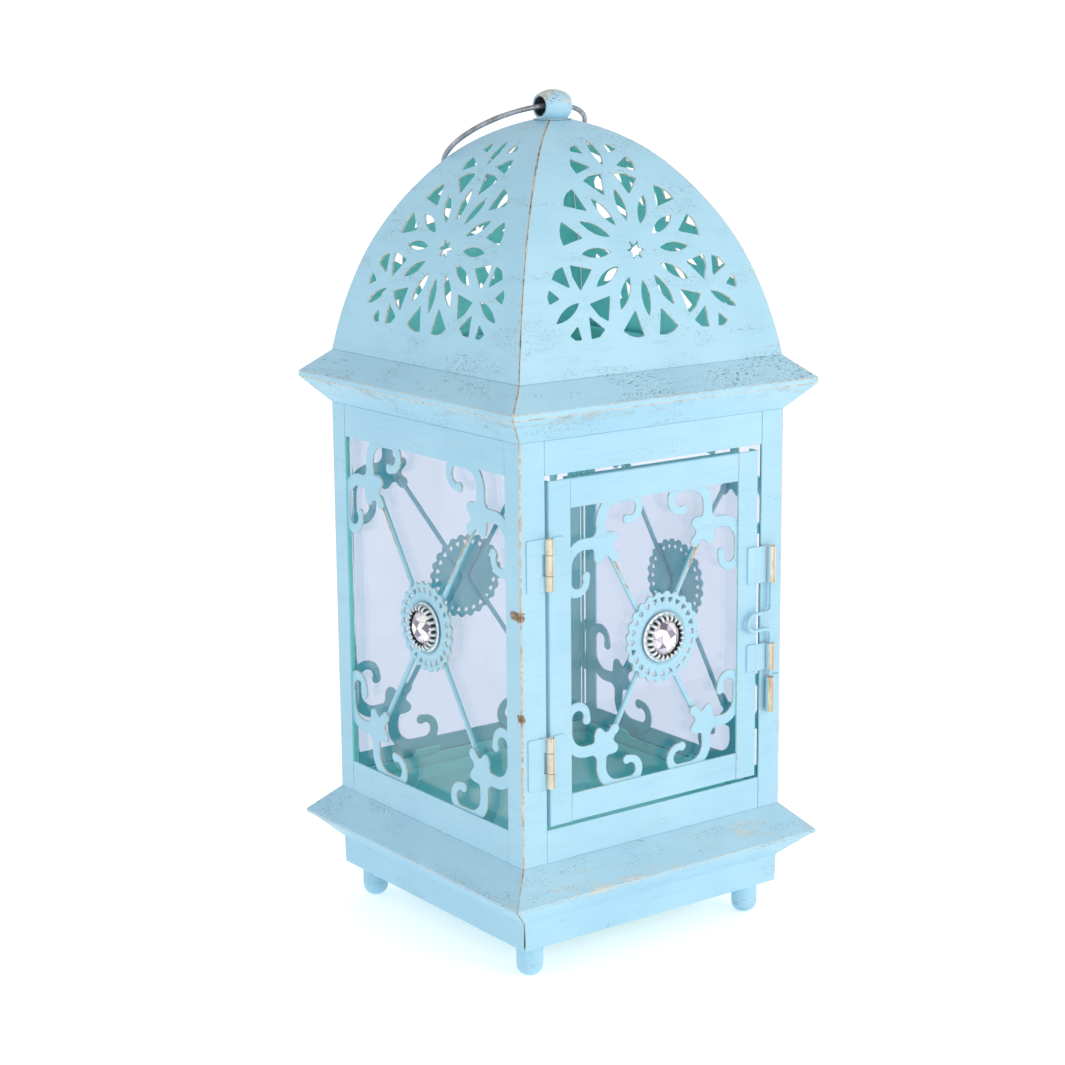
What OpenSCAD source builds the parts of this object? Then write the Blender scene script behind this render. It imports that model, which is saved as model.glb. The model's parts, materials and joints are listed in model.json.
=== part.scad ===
// Candle lantern: a square sheet-metal body with four glazed, scroll-filled
// walls, a pierced dome roof, a flared base on four feet, a hinged door with
// a sliding wire bolt, and a free-swinging carry ring.
// Millimetres. Origin at the centre of the footprint, on the ground.
// The door wall faces -Y, its hinges are on the -X side.

/* [Body] */
// Width of the square body across its corner posts
body_w = 81.2; // [80.8:0.2:81.6]
// Height of the walls, between base and cornice
wall_h = 102.4; // [101:0.2:104]
// Thickness of the sheet metal
sheet = 0.5; // [0.4:0.05:0.6]
// Width of the legs of the L-shaped corner posts
post_leg = 6; // [5:0.5:7]
// Height of the rails above and below the side windows
rail_h = 8.2; // [7.8:0.1:9]
// Width of the visible seams between sheet pieces
seam = 0.1; // [0.06:0.02:0.16]

/* [Base] */
// Width across the rim of the flared base
base_rim_w = 95; // [93:0.5:96]
// Height of the rim of the flared base
base_rim_z = 22.6; // [22:0.2:23.4]
// Width of the plinth under the flare
plinth_w = 80.6; // [79:0.2:81]
// Diameter of each foot
foot_d = 6.6; // [6:0.2:8]
// Height of each foot
foot_h = 8.5; // [7.5:0.1:9.5]
// Distance of each foot's axis from the middle planes
foot_pos = 34.5; // [33:0.5:35.5]

/* [Roof] */
// Width across the rim of the cornice
cornice_rim_w = 93.2; // [91:0.2:95]
// Height of the upright hem on the cornice's rim
cornice_hem_h = 1.4; // [1:0.1:2]
// Size of the dome's pierced pattern
pattern_scale = 1; // [0.9:0.02:1.02]

/* [Glass and grilles] */
// Thickness of the glass panes
glass_t = 1.5; // [1:0.1:2]
// Diameter of the wires that cross behind each medallion
cross_wire_d = 1.25; // [1:0.05:1.3]
// Radius of each medallion, to the tips of its scallops
medallion_r = 11.4; // [10.5:0.1:12]
// Diameter of each round stone
stone_d = 9; // [8:0.1:9.4]

/* [Door] */
// Width of the door
door_w = 64.8; // [64.2:0.1:65]
// Width of the door's stiles
stile_w = 6.4; // [5.8:0.1:7]
// Height of the door's rails
door_rail_h = 7; // [6:0.1:7.6]
// Diameter of the hinge knuckles
knuckle_d = 2; // [1.9:0.05:2.1]
// Diameter of the hinge pins
pin_d = 1; // [0.8:0.05:1.1]
// Diameter of the latch's wire
bolt_d = 1; // [0.8:0.05:1.1]

/* [Carry ring] */
// Mean radius of the ring
ring_r = 18.6; // [18:0.2:20]
// Diameter of the ring's wire
ring_wire_d = 1.3; // [1.2:0.1:1.6]
// How far the ring lies below level at rest, in degrees
ring_droop = 30.4; // [27:0.1:30.4]

/* [Hidden] */

$fn = 48;
paint = "powderblue";
metal = "tan";

// Heights
z_base = 29.6;                      // top of the base, foot of the walls
z_wall = z_base + wall_h;           // top of the walls
z_dome = z_wall + 13.4;             // foot of the dome
win_lo = z_base + rail_h;           // side windows
win_hi = z_wall - rail_h;
win_mid = (win_lo + win_hi) / 2;
win_hh = (win_hi - win_lo) / 2;

// Layers of a wall, measured outward from the lantern's middle
hb = body_w / 2;                    // outer face of posts and rails
f1 = hb - sheet;                    // their inner face, outer face of the scrolls
f2 = f1 - sheet;                    // inner face of the scrolls
fw = f2 - cross_wire_d / 2;         // axis plane of the crossing wires
g1 = 38.2;                          // outer face of the glass
g2 = g1 - glass_t;                  // inner face of the glass
win_hw = hb - post_leg;             // half width of the side windows
open_hw = 33.5;                     // half width of the door opening

// Door
door_lo = win_lo + 0.8;
door_hi = win_hi - 1.4;
door_mid = (door_lo + door_hi) / 2;
dw = door_w / 2;
dwin_hw = dw - stile_w;
dwin_lo = door_lo + door_rail_h;
dwin_hi = door_hi - door_rail_h;
dwin_hh = (dwin_hi - dwin_lo) / 2;

// Hinge line, and the foot of each hinge
hx = -33.0;
hy = -hb - 1.0;
hinge_z = [door_lo + 10, door_lo + 58];
hinge_h = 12.5;
kn = 3.7;                           // height of each end knuckle

// Latch line
lx = 35.7;
ly = -hb - 1.5;
barrel_r = 1.1;

// Axis of the hanger's eye, and pivot of the carry ring
eye_z = 206;
ring_z = 206.1;

// How far the door's medallion and its wires sit off the window's middle, as [x, y, z]
door_gem = [2.3, 0, -0.8];
door_cross = [0.6, 0, -1.2];

// ---------------------------------------------------------------- helpers

// Turns what is drawn on the front wall to wall k: 0 front, 1 right, 2 back, 3 left
module wall(k) { rotate([0, 0, 90 * k]) children(); }

// A flat shape drawn in (x, z), as a plate with its outer face at distance f
module plate(f, t) { translate([0, -(f - t), 0]) rotate([90, 0, 0]) linear_extrude(t) children(); }

// A profile drawn in (y, z), extruded along the wall
module along(w) { rotate([90, 0, 90]) linear_extrude(w, center = true) children(); }

// The quarter of the plan that belongs to the front wall, less half a seam
module quarter(g = seam) {
    linear_extrude(260) polygon([[0, -g / sqrt(2)], [-70, -70 - g / sqrt(2)], [70, -70 - g / sqrt(2)]]);
}

function unit(v) = v / norm(v);
function left_of(a, b) = let (d = unit(b - a)) [-d[1], d[0]];
// Point i of path p, moved t to the left with a mitred corner
function shifted(p, i, t) =
    i == 0 ? p[0] + t * left_of(p[0], p[1]) :
    i == len(p) - 1 ? p[i] + t * left_of(p[i - 1], p[i]) :
    let (n = left_of(p[i - 1], p[i]), m = unit(n + left_of(p[i], p[i + 1]))) p[i] + m * t / (m * n);
// Closed outline of a strip of thickness t to the left of path p
function strip(p, t) = concat(p, [for (i = [len(p) - 1:-1:0]) shifted(p, i, t)]);

// ------------------------------------------------------------------ base

module foot() {
    r = foot_d / 2;
    translate([0, 0, 4]) cylinder(h = foot_h - 4, r = r);
    intersection() {
        cylinder(h = 4.1, r = r);
        translate([0, 0, r + 1.05]) sphere(r = r + 1.3);
    }
}
module feet() {
    color(paint) for (x = [-1, 1], y = [-1, 1]) translate([x * foot_pos, y * foot_pos, 0]) foot();
}

// One side of the base: ledge, flare, plinth and the flange turned in beneath
module base_skirt(k) {
    p = plinth_w / 2;
    b = base_rim_w / 2;
    drop = base_rim_z - (z_base - base_rim_z);
    color(paint) wall(k) intersection() {
        along(120) polygon(strip([[-39.4, z_base], [-hb, z_base], [-b, base_rim_z], [-p, drop],
            [-p, foot_h], [-29, foot_h]], sheet));
        quarter();
    }
}
module floor_plate() {
    h = 39.4;
    color(paint) difference() {
        translate([-h, -h, z_base - 3.2]) cube([2 * h, 2 * h, 3.7]);
        translate([-h + sheet, -h + sheet, z_base - 3.2 + sheet]) cube([2 * (h - sheet), 2 * (h - sheet), 5]);
    }
}

// ------------------------------------------------------------------ walls

// L-shaped post; leg_x lies in the front or back wall, leg_y in a side wall
module post(sx, sy, leg_x, leg_y) {
    color(paint) scale_xy(sx, sy) translate([0, 0, z_base]) linear_extrude(wall_h)
        polygon([[hb, hb], [hb - leg_x, hb], [hb - leg_x, f1], [f1, f1], [f1, hb - leg_y], [hb, hb - leg_y]]);
}
module scale_xy(sx, sy) {
    mirror([sx < 0 ? 1 : 0, 0, 0]) mirror([0, sy < 0 ? 1 : 0, 0]) children();
}
module rail(k, hw, lo, hi) {
    color(paint) wall(k) translate([-hw + seam / 2, -hb, lo]) cube([2 * hw - seam, sheet, hi - lo]);
}

module pane(k, hw, lo, hi) {
    color("lavender", 0.35) wall(k) translate([-hw, -g1, lo]) cube([2 * hw, glass_t, hi - lo]);
}

// Clip strip: fixed to the back of a rail, under the glass and up behind it
module clip(z) {
    along(7.8) polygon(strip([[-33.4, z + 3], [-34.7, z + 1], [-36.3, z], [-f1, z], [-f1, z - 2.8]], 0.4));
}
module clip_pair(x, z, mid) {
    for (sx = [-1, 1]) translate([sx * x, 0, 0]) {
        clip(z);
        translate([0, 0, 2 * mid]) mirror([0, 0, 1]) clip(z);
    }
}

// -------------------------------------------------------------- grille art

// Centre line of one scroll arm, from the bud, round the lower bend, along the
// hidden straight and over the curl to the tip, in (x, z) from the window's corner
arm_line = concat(
    [[10.6, 10.4], [9, 9.9], [7, 9.5]],
    [for (a = [270:-10:180]) [4.6 + 5.2 * cos(a), 14.6 + 5.2 * sin(a)]],
    [for (a = [180:-12:0]) [2.25 + 2.85 * cos(a), 18.2 + 2.85 * sin(a)]],
    [[5.05, 17.4]]);
// Half width of the arm at point i: widest at the bud, slimmest at the curl
function arm_half(i) = let (n = len(arm_line) - 1) 1.5 - 0.6 * i / n;
function line_dir(p, i) = unit(p[min(i + 1, len(p) - 1)] - p[max(i - 1, 0)]);
arm_outline = concat(
    [for (i = [0:len(arm_line) - 1]) let (d = line_dir(arm_line, i)) arm_line[i] + arm_half(i) * [-d[1], d[0]]],
    [for (i = [len(arm_line) - 1:-1:0]) let (d = line_dir(arm_line, i)) arm_line[i] - arm_half(i) * [-d[1], d[0]]]);
// Half of the bud's outline, from its root to the lobe on its axis
bud_side = [[7.4, 7.4], [6.9, 9.6], [7.6, 11.6], [7.5, 13.4], [8.2, 14.5], [9.4, 14.4], [10.3, 13.2], [11.2, 12.9],
    [12.1, 13.4], [12.8, 14.6], [13.9, 14.8]];
bud_outline = concat(bud_side, [for (i = [len(bud_side) - 1:-1:1]) [bud_side[i][1], bud_side[i][0]]]);

module scroll_arm(t) {
    linear_extrude(t) polygon(arm_outline);
    translate([5.05, 17.3, 0]) cylinder(h = t, r = 1.2);
}
// One corner scroll, lying in the XY plane from its window corner
module corner_scroll(t) {
    scroll_arm(t);
    mirror([1, -1, 0]) scroll_arm(t);
    linear_extrude(t) polygon(bud_outline);
}
// The four corner scrolls of a window of half size (hw, hh) around height mid
module scroll_set(hw, hh, mid, s) {
    for (sx = [0, 1], sz = [0, 1])
        translate([0, -f2, mid]) mirror([sx, 0, 0]) mirror([0, 0, sz]) translate([-hw, 0, -hh])
            rotate([90, 0, 0]) scale([s, s, s]) corner_scroll(sheet / s);
}
// Two bent wires that meet back to back behind the medallion: each has two legs,
// from the middle out to (x, z) and (x, -z), mitred together on the middle plane
module wire_pair(x, z, mid) {
    r = cross_wire_d / 2;
    xc = 1.2 * r + 0.06;
    a = atan2(x - xc, z);
    L = norm([x - xc, z]);
    translate([0, -fw, mid]) for (s = [0, 1]) mirror([s, 0, 0]) for (m = [0, 1]) mirror([0, 0, m]) intersection() {
        translate([-xc, 0, 0]) rotate([0, -a, 0]) translate([0, 0, -2]) cylinder(h = L + 2, r = r);
        translate([-50, -5, 0]) cube([100, 10, 100]);
    }
}

// A heart of about 1.2 mm, pointing to the medallion's middle
module heart(h) {
    for (s = [-1, 1]) translate([s * 0.3, 0.25, 0]) cylinder(h = h, r = 0.38, $fn = 24);
    linear_extrude(h) polygon([[-0.64, 0.06], [0, 0.5], [0.64, 0.06], [0, -0.75]]);
}
// Medallion: a scalloped disc with a ring of heart-shaped holes and a raised seat
module medallion(mid) {
    rim = medallion_r - 0.75;
    translate([0, -f2, mid]) rotate([90, 0, 0]) {
        difference() {
            union() {
                cylinder(h = sheet, r = rim, $fn = 96);
                for (i = [0:23]) rotate([0, 0, 15 * i + 7.5]) translate([rim - 0.3, 0, 0]) cylinder(h = sheet, r = 1.05, $fn = 24);
            }
            for (i = [0:23]) rotate([0, 0, 15 * i]) translate([0, rim - 1.4, -1]) heart(3);
        }
        translate([0, 0, sheet]) difference() {
            cylinder(h = 0.3, r = 7.1);
            translate([0, 0, -1]) cylinder(h = 3, r = 6.3);
        }
    }
}
// Cup that holds a stone: a ring with serrated claws
module bezel(mid) {
    translate([0, -f1, mid]) rotate([90, 0, 0]) {
        difference() {
            cylinder(h = 0.7, r = 6.2);
            translate([0, 0, 0.3]) cylinder(h = 1, r = 5.5);
        }
        difference() {
            cylinder(h = 1.9, r = 5.5);
            translate([0, 0, 0.3]) cylinder(h = 3, r = stone_d / 2 + 0.05);
            for (i = [0:21]) rotate([0, 0, i * 360 / 22]) translate([5.5, 0, 1.1]) cube([1.6, 0.55, 2], center = true);
        }
    }
}
// Round brilliant-cut stone, flat table outward
module stone(mid) {
    translate([0, -f1 - 0.3, mid]) rotate([90, 0, 0]) {
        cylinder(h = 1.5, r = stone_d / 2, $fn = 12);
        translate([0, 0, 1.5]) cylinder(h = 1.1, r1 = stone_d / 2, r2 = stone_d / 2 - 1.6, $fn = 12);
    }
}

// ------------------------------------------------------------------- roof

module cornice(k) {
    c = cornice_rim_w / 2;
    z1 = z_wall + 6.5;
    z2 = z1 + cornice_hem_h;
    color(paint) wall(k) intersection() {
        along(120) polygon(strip([[-38.3, z_dome], [-40.3, z_dome], [-c, z2], [-c, z1], [-hb, z_wall], [-38.6, z_wall]], sheet));
        quarter();
    }
}

// The dome's profile: three tangent arcs, each [radius, sweep in degrees],
// from a start at r0 that leans in by lean0 degrees, to a low peak under the eye
r0 = 40.3;
lean0 = 9.0;
arcs = [[129.1, 9.4], [75, 23.4], [35.7, 35.2]];
function arc_len(i) = arcs[i][0] * arcs[i][1] * PI / 180;
function lean(i) = i == 0 ? lean0 : lean(i - 1) + arcs[i - 1][1];
// Centre of arc i as [r, z]
function centre(i) = i == 0 ? [r0, z_dome] - arcs[0][0] * [cos(lean0), sin(lean0)] :
    centre(i - 1) + (arcs[i - 1][0] - arcs[i][0]) * [cos(lean(i)), sin(lean(i))];
// Place on the profile at arc length s: [r, z, lean]
function place(s, i = 0) = (s > arc_len(i) && i < 2) ? place(s - arc_len(i), i + 1) :
    let (a = lean(i) + s / arcs[i][0] * 180 / PI) concat(centre(i) + arcs[i][0] * [cos(a), sin(a)], [a]);

// Ring sector i of the dome, as a bent plate along X
module dome_sector(i) {
    R = arcs[i][0];
    a = lean(i);
    b = a + arcs[i][1];
    intersection() {
        translate([0, -centre(i)[0], centre(i)[1]]) rotate([0, 90, 0]) difference() {
            cylinder(h = 90, r = R, center = true, $fn = 200);
            cylinder(h = 92, r = R - sheet, center = true, $fn = 200);
        }
        translate([0, -centre(i)[0], centre(i)[1]]) along(100)
            polygon([[0, 0], 2 * R * [-cos(a), sin(a)], 2 * R * [-cos((a + b) / 2), sin((a + b) / 2)], 2 * R * [-cos(b), sin(b)]]);
    }
}

// Places a cutter on the outer face of the front dome panel, at (x, s), upright along the slope
module on_dome(x, s) {
    q = place(s);
    translate([x, -q[0], q[1]]) rotate([90 - q[2], 0, 0]) children();
}
pat_s = 29;                         // the rosette's middle, up the slope
function polar(r, a) = [r * cos(a), r * sin(a)] * pattern_scale;
// A hole with outline p, given from the rosette's middle
module hole(p) {
    c = [for (i = [0, 1]) [for (v = p) v[i]] * [for (v = p) 1] / len(p)];
    on_dome(c[0], pat_s + c[1]) translate([0, 0, -1.6]) linear_extrude(3.2) polygon([for (v = p) v - c]);
}
// A lens-shaped petal of length l and width w, its middle at polar (r, a), pointing away from the rosette's middle
module petal(r, a, l, w) {
    m = polar(r, a);
    R = (l * l / 4 + w * w / 4) / w * pattern_scale;
    on_dome(m[0], pat_s + m[1]) rotate([0, 0, a]) intersection_for (s = [-1, 1])
        translate([0, s * (R - w / 2 * pattern_scale), -1.6]) cylinder(h = 3.2, r = R, $fn = 96);
}
// Wedge with its point at polar (r1, a) and its bowed outer side at radius r2 over +-h degrees
function wedge(r1, a, r2, h) = [polar(r1, a), polar(r2, a - h), polar(r2 + 0.5, a - h / 3), polar(r2 + 0.5, a + h / 3), polar(r2, a + h)];
// Points of a small snowflake, in its own axes: u across, v away from the rosette's middle
function flake(a, u, v) = polar(1, a) * v + polar(1, a - 90) * u;
// A triangle of the snowflake with its point near the snowflake's middle
function flake_wedge(a, s, t, ri, ro, h) = [
    flake(a, s * ri * sin(t), 22.4 + ri * cos(t)),
    flake(a, s * ro * sin(t - h), 22.4 + ro * cos(t - h)),
    flake(a, s * (ro + 0.4) * sin(t), 22.4 + (ro + 0.4) * cos(t)),
    flake(a, s * ro * sin(t + h), 22.4 + ro * cos(t + h))];

module dome_holes() {
    // six-pointed star in the middle
    hole([for (i = [0:11]) polar(i % 2 == 0 ? 2.7 : 1.15, 30 * i)]);
    // twelve petals, and the wedges between them
    for (i = [0:11]) petal(11.8, 30 * i, 8.7, 2.4);
    for (a = [90, 210, 330]) {
        for (s = [-1, 1], b = [45, 75]) hole(wedge(15, a + s * b, 20.9, 8.6));
        // small snowflake
        petal(27.4, a, 8.6, 2.2);
        for (s = [-1, 1]) {
            hole([flake(a, s * 3.8, 14.4), flake(a, s * 8.1, 18.9), flake(a, s * 5.6, 20.3), flake(a, s * 1.9, 20.7)]);
            hole(flake_wedge(a, s, 84, 4, 9.1, 15));
            hole(flake_wedge(a, s, 40, 6, 9.1, 11));
        }
    }
}
crown_hw = 3.6;                     // half width of the square hole in the crown
module dome_panel(k) {
    color(paint) wall(k) difference() {
        intersection() {
            union() for (i = [0:2]) dome_sector(i);
            quarter();
            translate([-60, -60, z_dome]) cube([120, 60 - crown_hw, 100]);
        }
        dome_holes();
    }
}

// Rolled eye with a crowned back, on a square plug with a flange under the crown
module hanger_strap() {
    color(paint) difference() {
        union() {
            translate([0, 0, eye_z]) rotate([0, 90, 0]) intersection() {
                rotate_extrude($fn = 64) intersection() {
                    translate([-4.1, 0]) circle(r = 8.1, $fn = 128);
                    translate([0, -3.9]) square([6, 7.8]);
                }
                cylinder(h = 20, r = 6, center = true);
            }
            translate([-2.9, -1.6, 202.4]) cube([5.8, 3.2, 1.4]);
            translate([-3.45, -3.45, 201.2]) cube([6.9, 6.9, 1.3]);
            translate([0, 0, 200.7]) cylinder(h = 0.7, r = 5.4);
        }
        translate([-10, 0, eye_z]) rotate([0, 90, 0]) cylinder(h = 20, r = 2.2);
    }
}
module carry_ring() {
    color("slategray") translate([0, 0, ring_z]) rotate([-ring_droop, 0, 0]) translate([0, ring_r, 0])
        rotate_extrude($fn = 96) translate([ring_r, 0]) circle(r = ring_wire_d / 2, $fn = 24);
}

// ------------------------------------------------------------------- door

// The door's outer edges are folded back by this much
door_fold = 2.5;
module door_stile(s) {
    color(paint) {
        translate([s > 0 ? dwin_hw + seam / 2 : -dw, -hb, door_lo]) cube([stile_w - seam / 2, sheet, door_hi - door_lo]);
        translate([s > 0 ? dw - sheet : -dw, -hb, door_lo]) cube([sheet, sheet + door_fold, door_hi - door_lo]);
    }
}
module door_rail(lo, hi) {
    color(paint) {
        translate([-dwin_hw + seam / 2, -hb, lo]) cube([2 * dwin_hw - seam, sheet, hi - lo]);
        translate([-dwin_hw + seam / 2, -hb, lo < door_mid ? lo : hi - sheet]) cube([2 * dwin_hw - seam, sheet + door_fold, sheet]);
    }
}

module tube(r1, r2, h) {
    difference() {
        cylinder(h = h, r = r1);
        translate([0, 0, -1]) cylinder(h = h + 2, r = r2);
    }
}
// Frame leaf: end knuckles, and a leaf on the post that is notched around the door's knuckle
module frame_leaf() {
    for (z = [0, hinge_h - kn]) difference() {
        union() {
            translate([hx, hy, z]) cylinder(h = kn, r = knuckle_d / 2);
            translate([hx - 3, -hb - 0.4, z]) cube([3, 0.4, kn]);
        }
        translate([hx, hy, z - 1]) cylinder(h = kn + 2, r = pin_d / 2 + 0.02);
    }
    translate([hx - 6, -hb - 0.4, 0]) cube([4.5, 0.4, hinge_h]);
}
// Door leaf: middle knuckle, and a leaf on the stile
module door_leaf() {
    h = hinge_h - 2 * kn - 0.2;
    translate([0, 0, kn + 0.1]) difference() {
        union() {
            translate([hx, hy, 0]) cylinder(h = h, r = knuckle_d / 2);
            translate([hx, -hb - 0.4, 0]) cube([3, 0.4, h]);
        }
        translate([hx, hy, -1]) cylinder(h = h + 2, r = pin_d / 2 + 0.05);
    }
    translate([hx + 1.5, -hb - 0.4, 0]) cube([3.2, 0.4, hinge_h]);
}
module hinge_pin() {
    translate([hx, hy, -0.2]) cylinder(h = hinge_h + 0.4, r = pin_d / 2);
}

// Rolled barrel with a leaf joined to its back; s gives the leaf's side
module barrel(z, h, bore, x1, x2) {
    difference() {
        union() {
            translate([lx, ly, z]) cylinder(h = h, r = barrel_r);
            translate([min(lx, x1), -hb - 0.8, z]) cube([abs(lx - x1), 0.4, h]);
            translate([min(x1 - 0.6, x2), -hb - 0.4, z]) cube([abs(x2 - x1) + 0.6, 0.4, h]);
            translate([x1 - 0.6, -hb - 0.8, z]) cube([1.2, 0.8, h]);
        }
        translate([lx, ly, z - 1]) cylinder(h = h + 2, r = bore);
    }
}
module latch_barrels() {
    color(metal) {
        barrel(88.8, 9.3, bolt_d / 2 + 0.06, 31.6, 29);
        barrel(66.2, 6.9, bolt_d / 2 + 0.06, 31.6, 29);
    }
}
module latch_keeper() { color(metal) barrel(55.3, 9, bolt_d / 2 + 0.08, 36.6, 39.8); }

// Wire bolt: a straight shank with a thumb loop bent out over the stile
module latch_bolt() {
    r = bolt_d / 2;
    b = 1.6;                        // bend radius
    zl = 76.9;                      // lower arm of the loop
    zh = 81.2;                      // upper arm of the loop
    m = (zh - zl) / 2;
    a = 5.4;                        // from the shank to the loop's middle
    color(metal) translate([lx, ly, 0]) {
        translate([0, 0, 64.6]) cylinder(h = zl - b - 64.6, r = r);
        translate([-b, 0, zl - b]) turn(b, r, 0, 90);
        translate([-a, 0, zl]) rotate([0, 90, 0]) cylinder(h = a - b, r = r);
        translate([-a, 0, zl + m]) turn(m, r, 90, 180);
        translate([-a, 0, zh]) rotate([0, 90, 0]) cylinder(h = a - b, r = r);
        translate([-b, 0, zh + b]) turn(b, r, 270, 90);
        translate([0, 0, zh + b]) cylinder(h = 97.9 - zh - b, r = r);
    }
}
// Wire bend in the (x, z) plane: radius R about its own origin, from angle a over sweep w
module turn(R, r, a, w) {
    rotate([90, 0, 0]) rotate([0, 0, a]) rotate_extrude(angle = w) translate([R, 0]) circle(r = r, $fn = 24);
}

// ---------------------------------------------------------------- drawing

feet();
base_skirt(0);  // base_skirt_front
base_skirt(1);  // base_skirt_right
base_skirt(2);  // base_skirt_back
base_skirt(3);  // base_skirt_left
floor_plate();
post(-1, -1, hb - open_hw, post_leg);  // corner_post_front_left
post(1, -1, hb - open_hw, post_leg);  // corner_post_front_right
post(-1, 1, post_leg, post_leg);  // corner_post_back_left
post(1, 1, post_leg, post_leg);  // corner_post_back_right
rail(0, open_hw, z_base, win_lo);  // bottom_rail_front
rail(1, win_hw, z_base, win_lo);  // bottom_rail_right
rail(2, win_hw, z_base, win_lo);  // bottom_rail_back
rail(3, win_hw, z_base, win_lo);  // bottom_rail_left
rail(0, open_hw, win_hi, z_wall);  // top_rail_front
rail(1, win_hw, win_hi, z_wall);  // top_rail_right
rail(2, win_hw, win_hi, z_wall);  // top_rail_back
rail(3, win_hw, win_hi, z_wall);  // top_rail_left
pane(3, 36.4, win_lo - 3.4, win_hi + 3.4);  // glass_left
pane(2, 36.4, win_lo - 3.4, win_hi + 3.4);  // glass_back
pane(1, 36.4, win_lo - 3.4, win_hi + 3.4);  // glass_right
color(paint) for (k = [1, 2, 3]) wall(k) clip_pair(17, win_lo - 3.4, win_mid);  // glass_clips
color(paint) wall(3) scroll_set(win_hw, win_hh, win_mid, 1.12);  // scrolls_left
color(paint) wall(2) scroll_set(win_hw, win_hh, win_mid, 1.12);  // scrolls_back
color(paint) wall(1) scroll_set(win_hw, win_hh, win_mid, 1.12);  // scrolls_right
color(metal) wall(3) wire_pair(win_hw - 13.6, win_hh - 13.6, win_mid);  // cross_wires_left
color(metal) wall(2) wire_pair(win_hw - 13.6, win_hh - 13.6, win_mid);  // cross_wires_back
color(metal) wall(1) wire_pair(win_hw - 13.6, win_hh - 13.6, win_mid);  // cross_wires_right
color(paint) wall(3) medallion(win_mid);  // medallion_left
color(paint) wall(2) medallion(win_mid);  // medallion_back
color(paint) wall(1) medallion(win_mid);  // medallion_right
color("silver") for (k = [1, 2, 3]) wall(k) bezel(win_mid);  // gem_bezels
color("white", 0.6) for (k = [1, 2, 3]) wall(k) stone(win_mid);  // gem_stones
cornice(0);  // cornice_front
cornice(1);  // cornice_right
cornice(2);  // cornice_back
cornice(3);  // cornice_left
dome_panel(0);  // dome_panel_front
dome_panel(1);  // dome_panel_right
dome_panel(2);  // dome_panel_back
dome_panel(3);  // dome_panel_left
hanger_strap();
carry_ring();
door_stile(-1);  // door_stile_left
door_stile(1);  // door_stile_right
door_rail(dwin_hi, door_hi);  // door_rail_top
door_rail(door_lo, dwin_lo);  // door_rail_bottom
pane(0, 29, dwin_lo - 3.6, dwin_hi + 3.6);  // door_glass
color(paint) clip_pair(13, dwin_lo - 3.6, door_mid);  // door_glass_clips
color(paint) scroll_set(dwin_hw, dwin_hh, door_mid, 1);  // door_scrolls
color(metal) translate(door_cross) wire_pair(dwin_hw - 11.9, dwin_hh - 11.6, door_mid);  // door_cross_wires
color(paint) translate(door_gem) medallion(door_mid);  // door_medallion
color("silver") translate(door_gem) bezel(door_mid);  // door_gem_bezel
color("white", 0.6) translate(door_gem) stone(door_mid);  // door_gem_stone
color(metal) for (z = hinge_z) translate([0, 0, z]) frame_leaf();  // hinge_frame_leaves
color(metal) for (z = hinge_z) translate([0, 0, z]) door_leaf();  // hinge_door_leaves
color(metal) for (z = hinge_z) translate([0, 0, z]) hinge_pin();  // hinge_pins
latch_barrels();
latch_keeper();
latch_bolt();
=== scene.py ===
import json
import math

import bmesh
import bpy
import numpy as np
from mathutils import Matrix, Vector, noise
from mathutils.geometry import delaunay_2d_cdt

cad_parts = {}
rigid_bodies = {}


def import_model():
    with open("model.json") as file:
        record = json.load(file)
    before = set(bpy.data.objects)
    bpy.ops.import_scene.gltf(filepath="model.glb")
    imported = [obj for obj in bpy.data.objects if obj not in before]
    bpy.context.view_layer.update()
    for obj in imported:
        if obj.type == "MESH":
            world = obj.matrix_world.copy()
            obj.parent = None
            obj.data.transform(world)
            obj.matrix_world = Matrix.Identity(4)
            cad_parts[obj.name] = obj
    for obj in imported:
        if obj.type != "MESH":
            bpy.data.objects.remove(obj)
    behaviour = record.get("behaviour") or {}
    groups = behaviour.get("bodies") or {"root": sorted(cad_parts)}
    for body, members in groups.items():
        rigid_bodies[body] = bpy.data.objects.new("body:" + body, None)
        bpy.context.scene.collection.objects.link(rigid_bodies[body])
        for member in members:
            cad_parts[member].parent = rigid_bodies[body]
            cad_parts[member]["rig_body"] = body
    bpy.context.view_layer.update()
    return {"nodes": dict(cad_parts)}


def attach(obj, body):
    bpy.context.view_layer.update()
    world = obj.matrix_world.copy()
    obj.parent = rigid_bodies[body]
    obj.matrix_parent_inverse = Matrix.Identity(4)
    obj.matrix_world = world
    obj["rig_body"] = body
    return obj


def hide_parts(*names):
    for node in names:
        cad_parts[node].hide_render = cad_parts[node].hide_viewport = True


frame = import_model()
rng = np.random.default_rng(7)

# ------------------------------------------------------------------ sizes, mm
HB, SHEET, SEAM = 40.6, 0.5, 0.1
F1, F2, FW = 40.1, 39.6, 38.975
Z_BASE, Z_WALL, Z_DOME = 29.6, 132.0, 145.4
WIN_LO, WIN_HI, WIN_MID, WIN_HW, WIN_HH = 37.8, 123.8, 80.8, 34.6, 43.0
OPEN_HW = 33.5
DOOR_LO, DOOR_HI, DOOR_MID, DW = 38.6, 122.4, 80.5, 32.4
DWIN_HW, DWIN_LO, DWIN_HI, DWIN_HH = 26.0, 45.6, 115.4, 34.9
G = SEAM / math.sqrt(2)
HX, HY = -33.0, -41.6
LX, LY = 35.7, -42.1
EYE_Z = 206.0
RING_Z, RING_R, RING_W, DROOP = 206.1, 18.6, 0.65, math.radians(30.4)
GEM_X, GEM_Z = 2.3, -0.8


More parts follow.
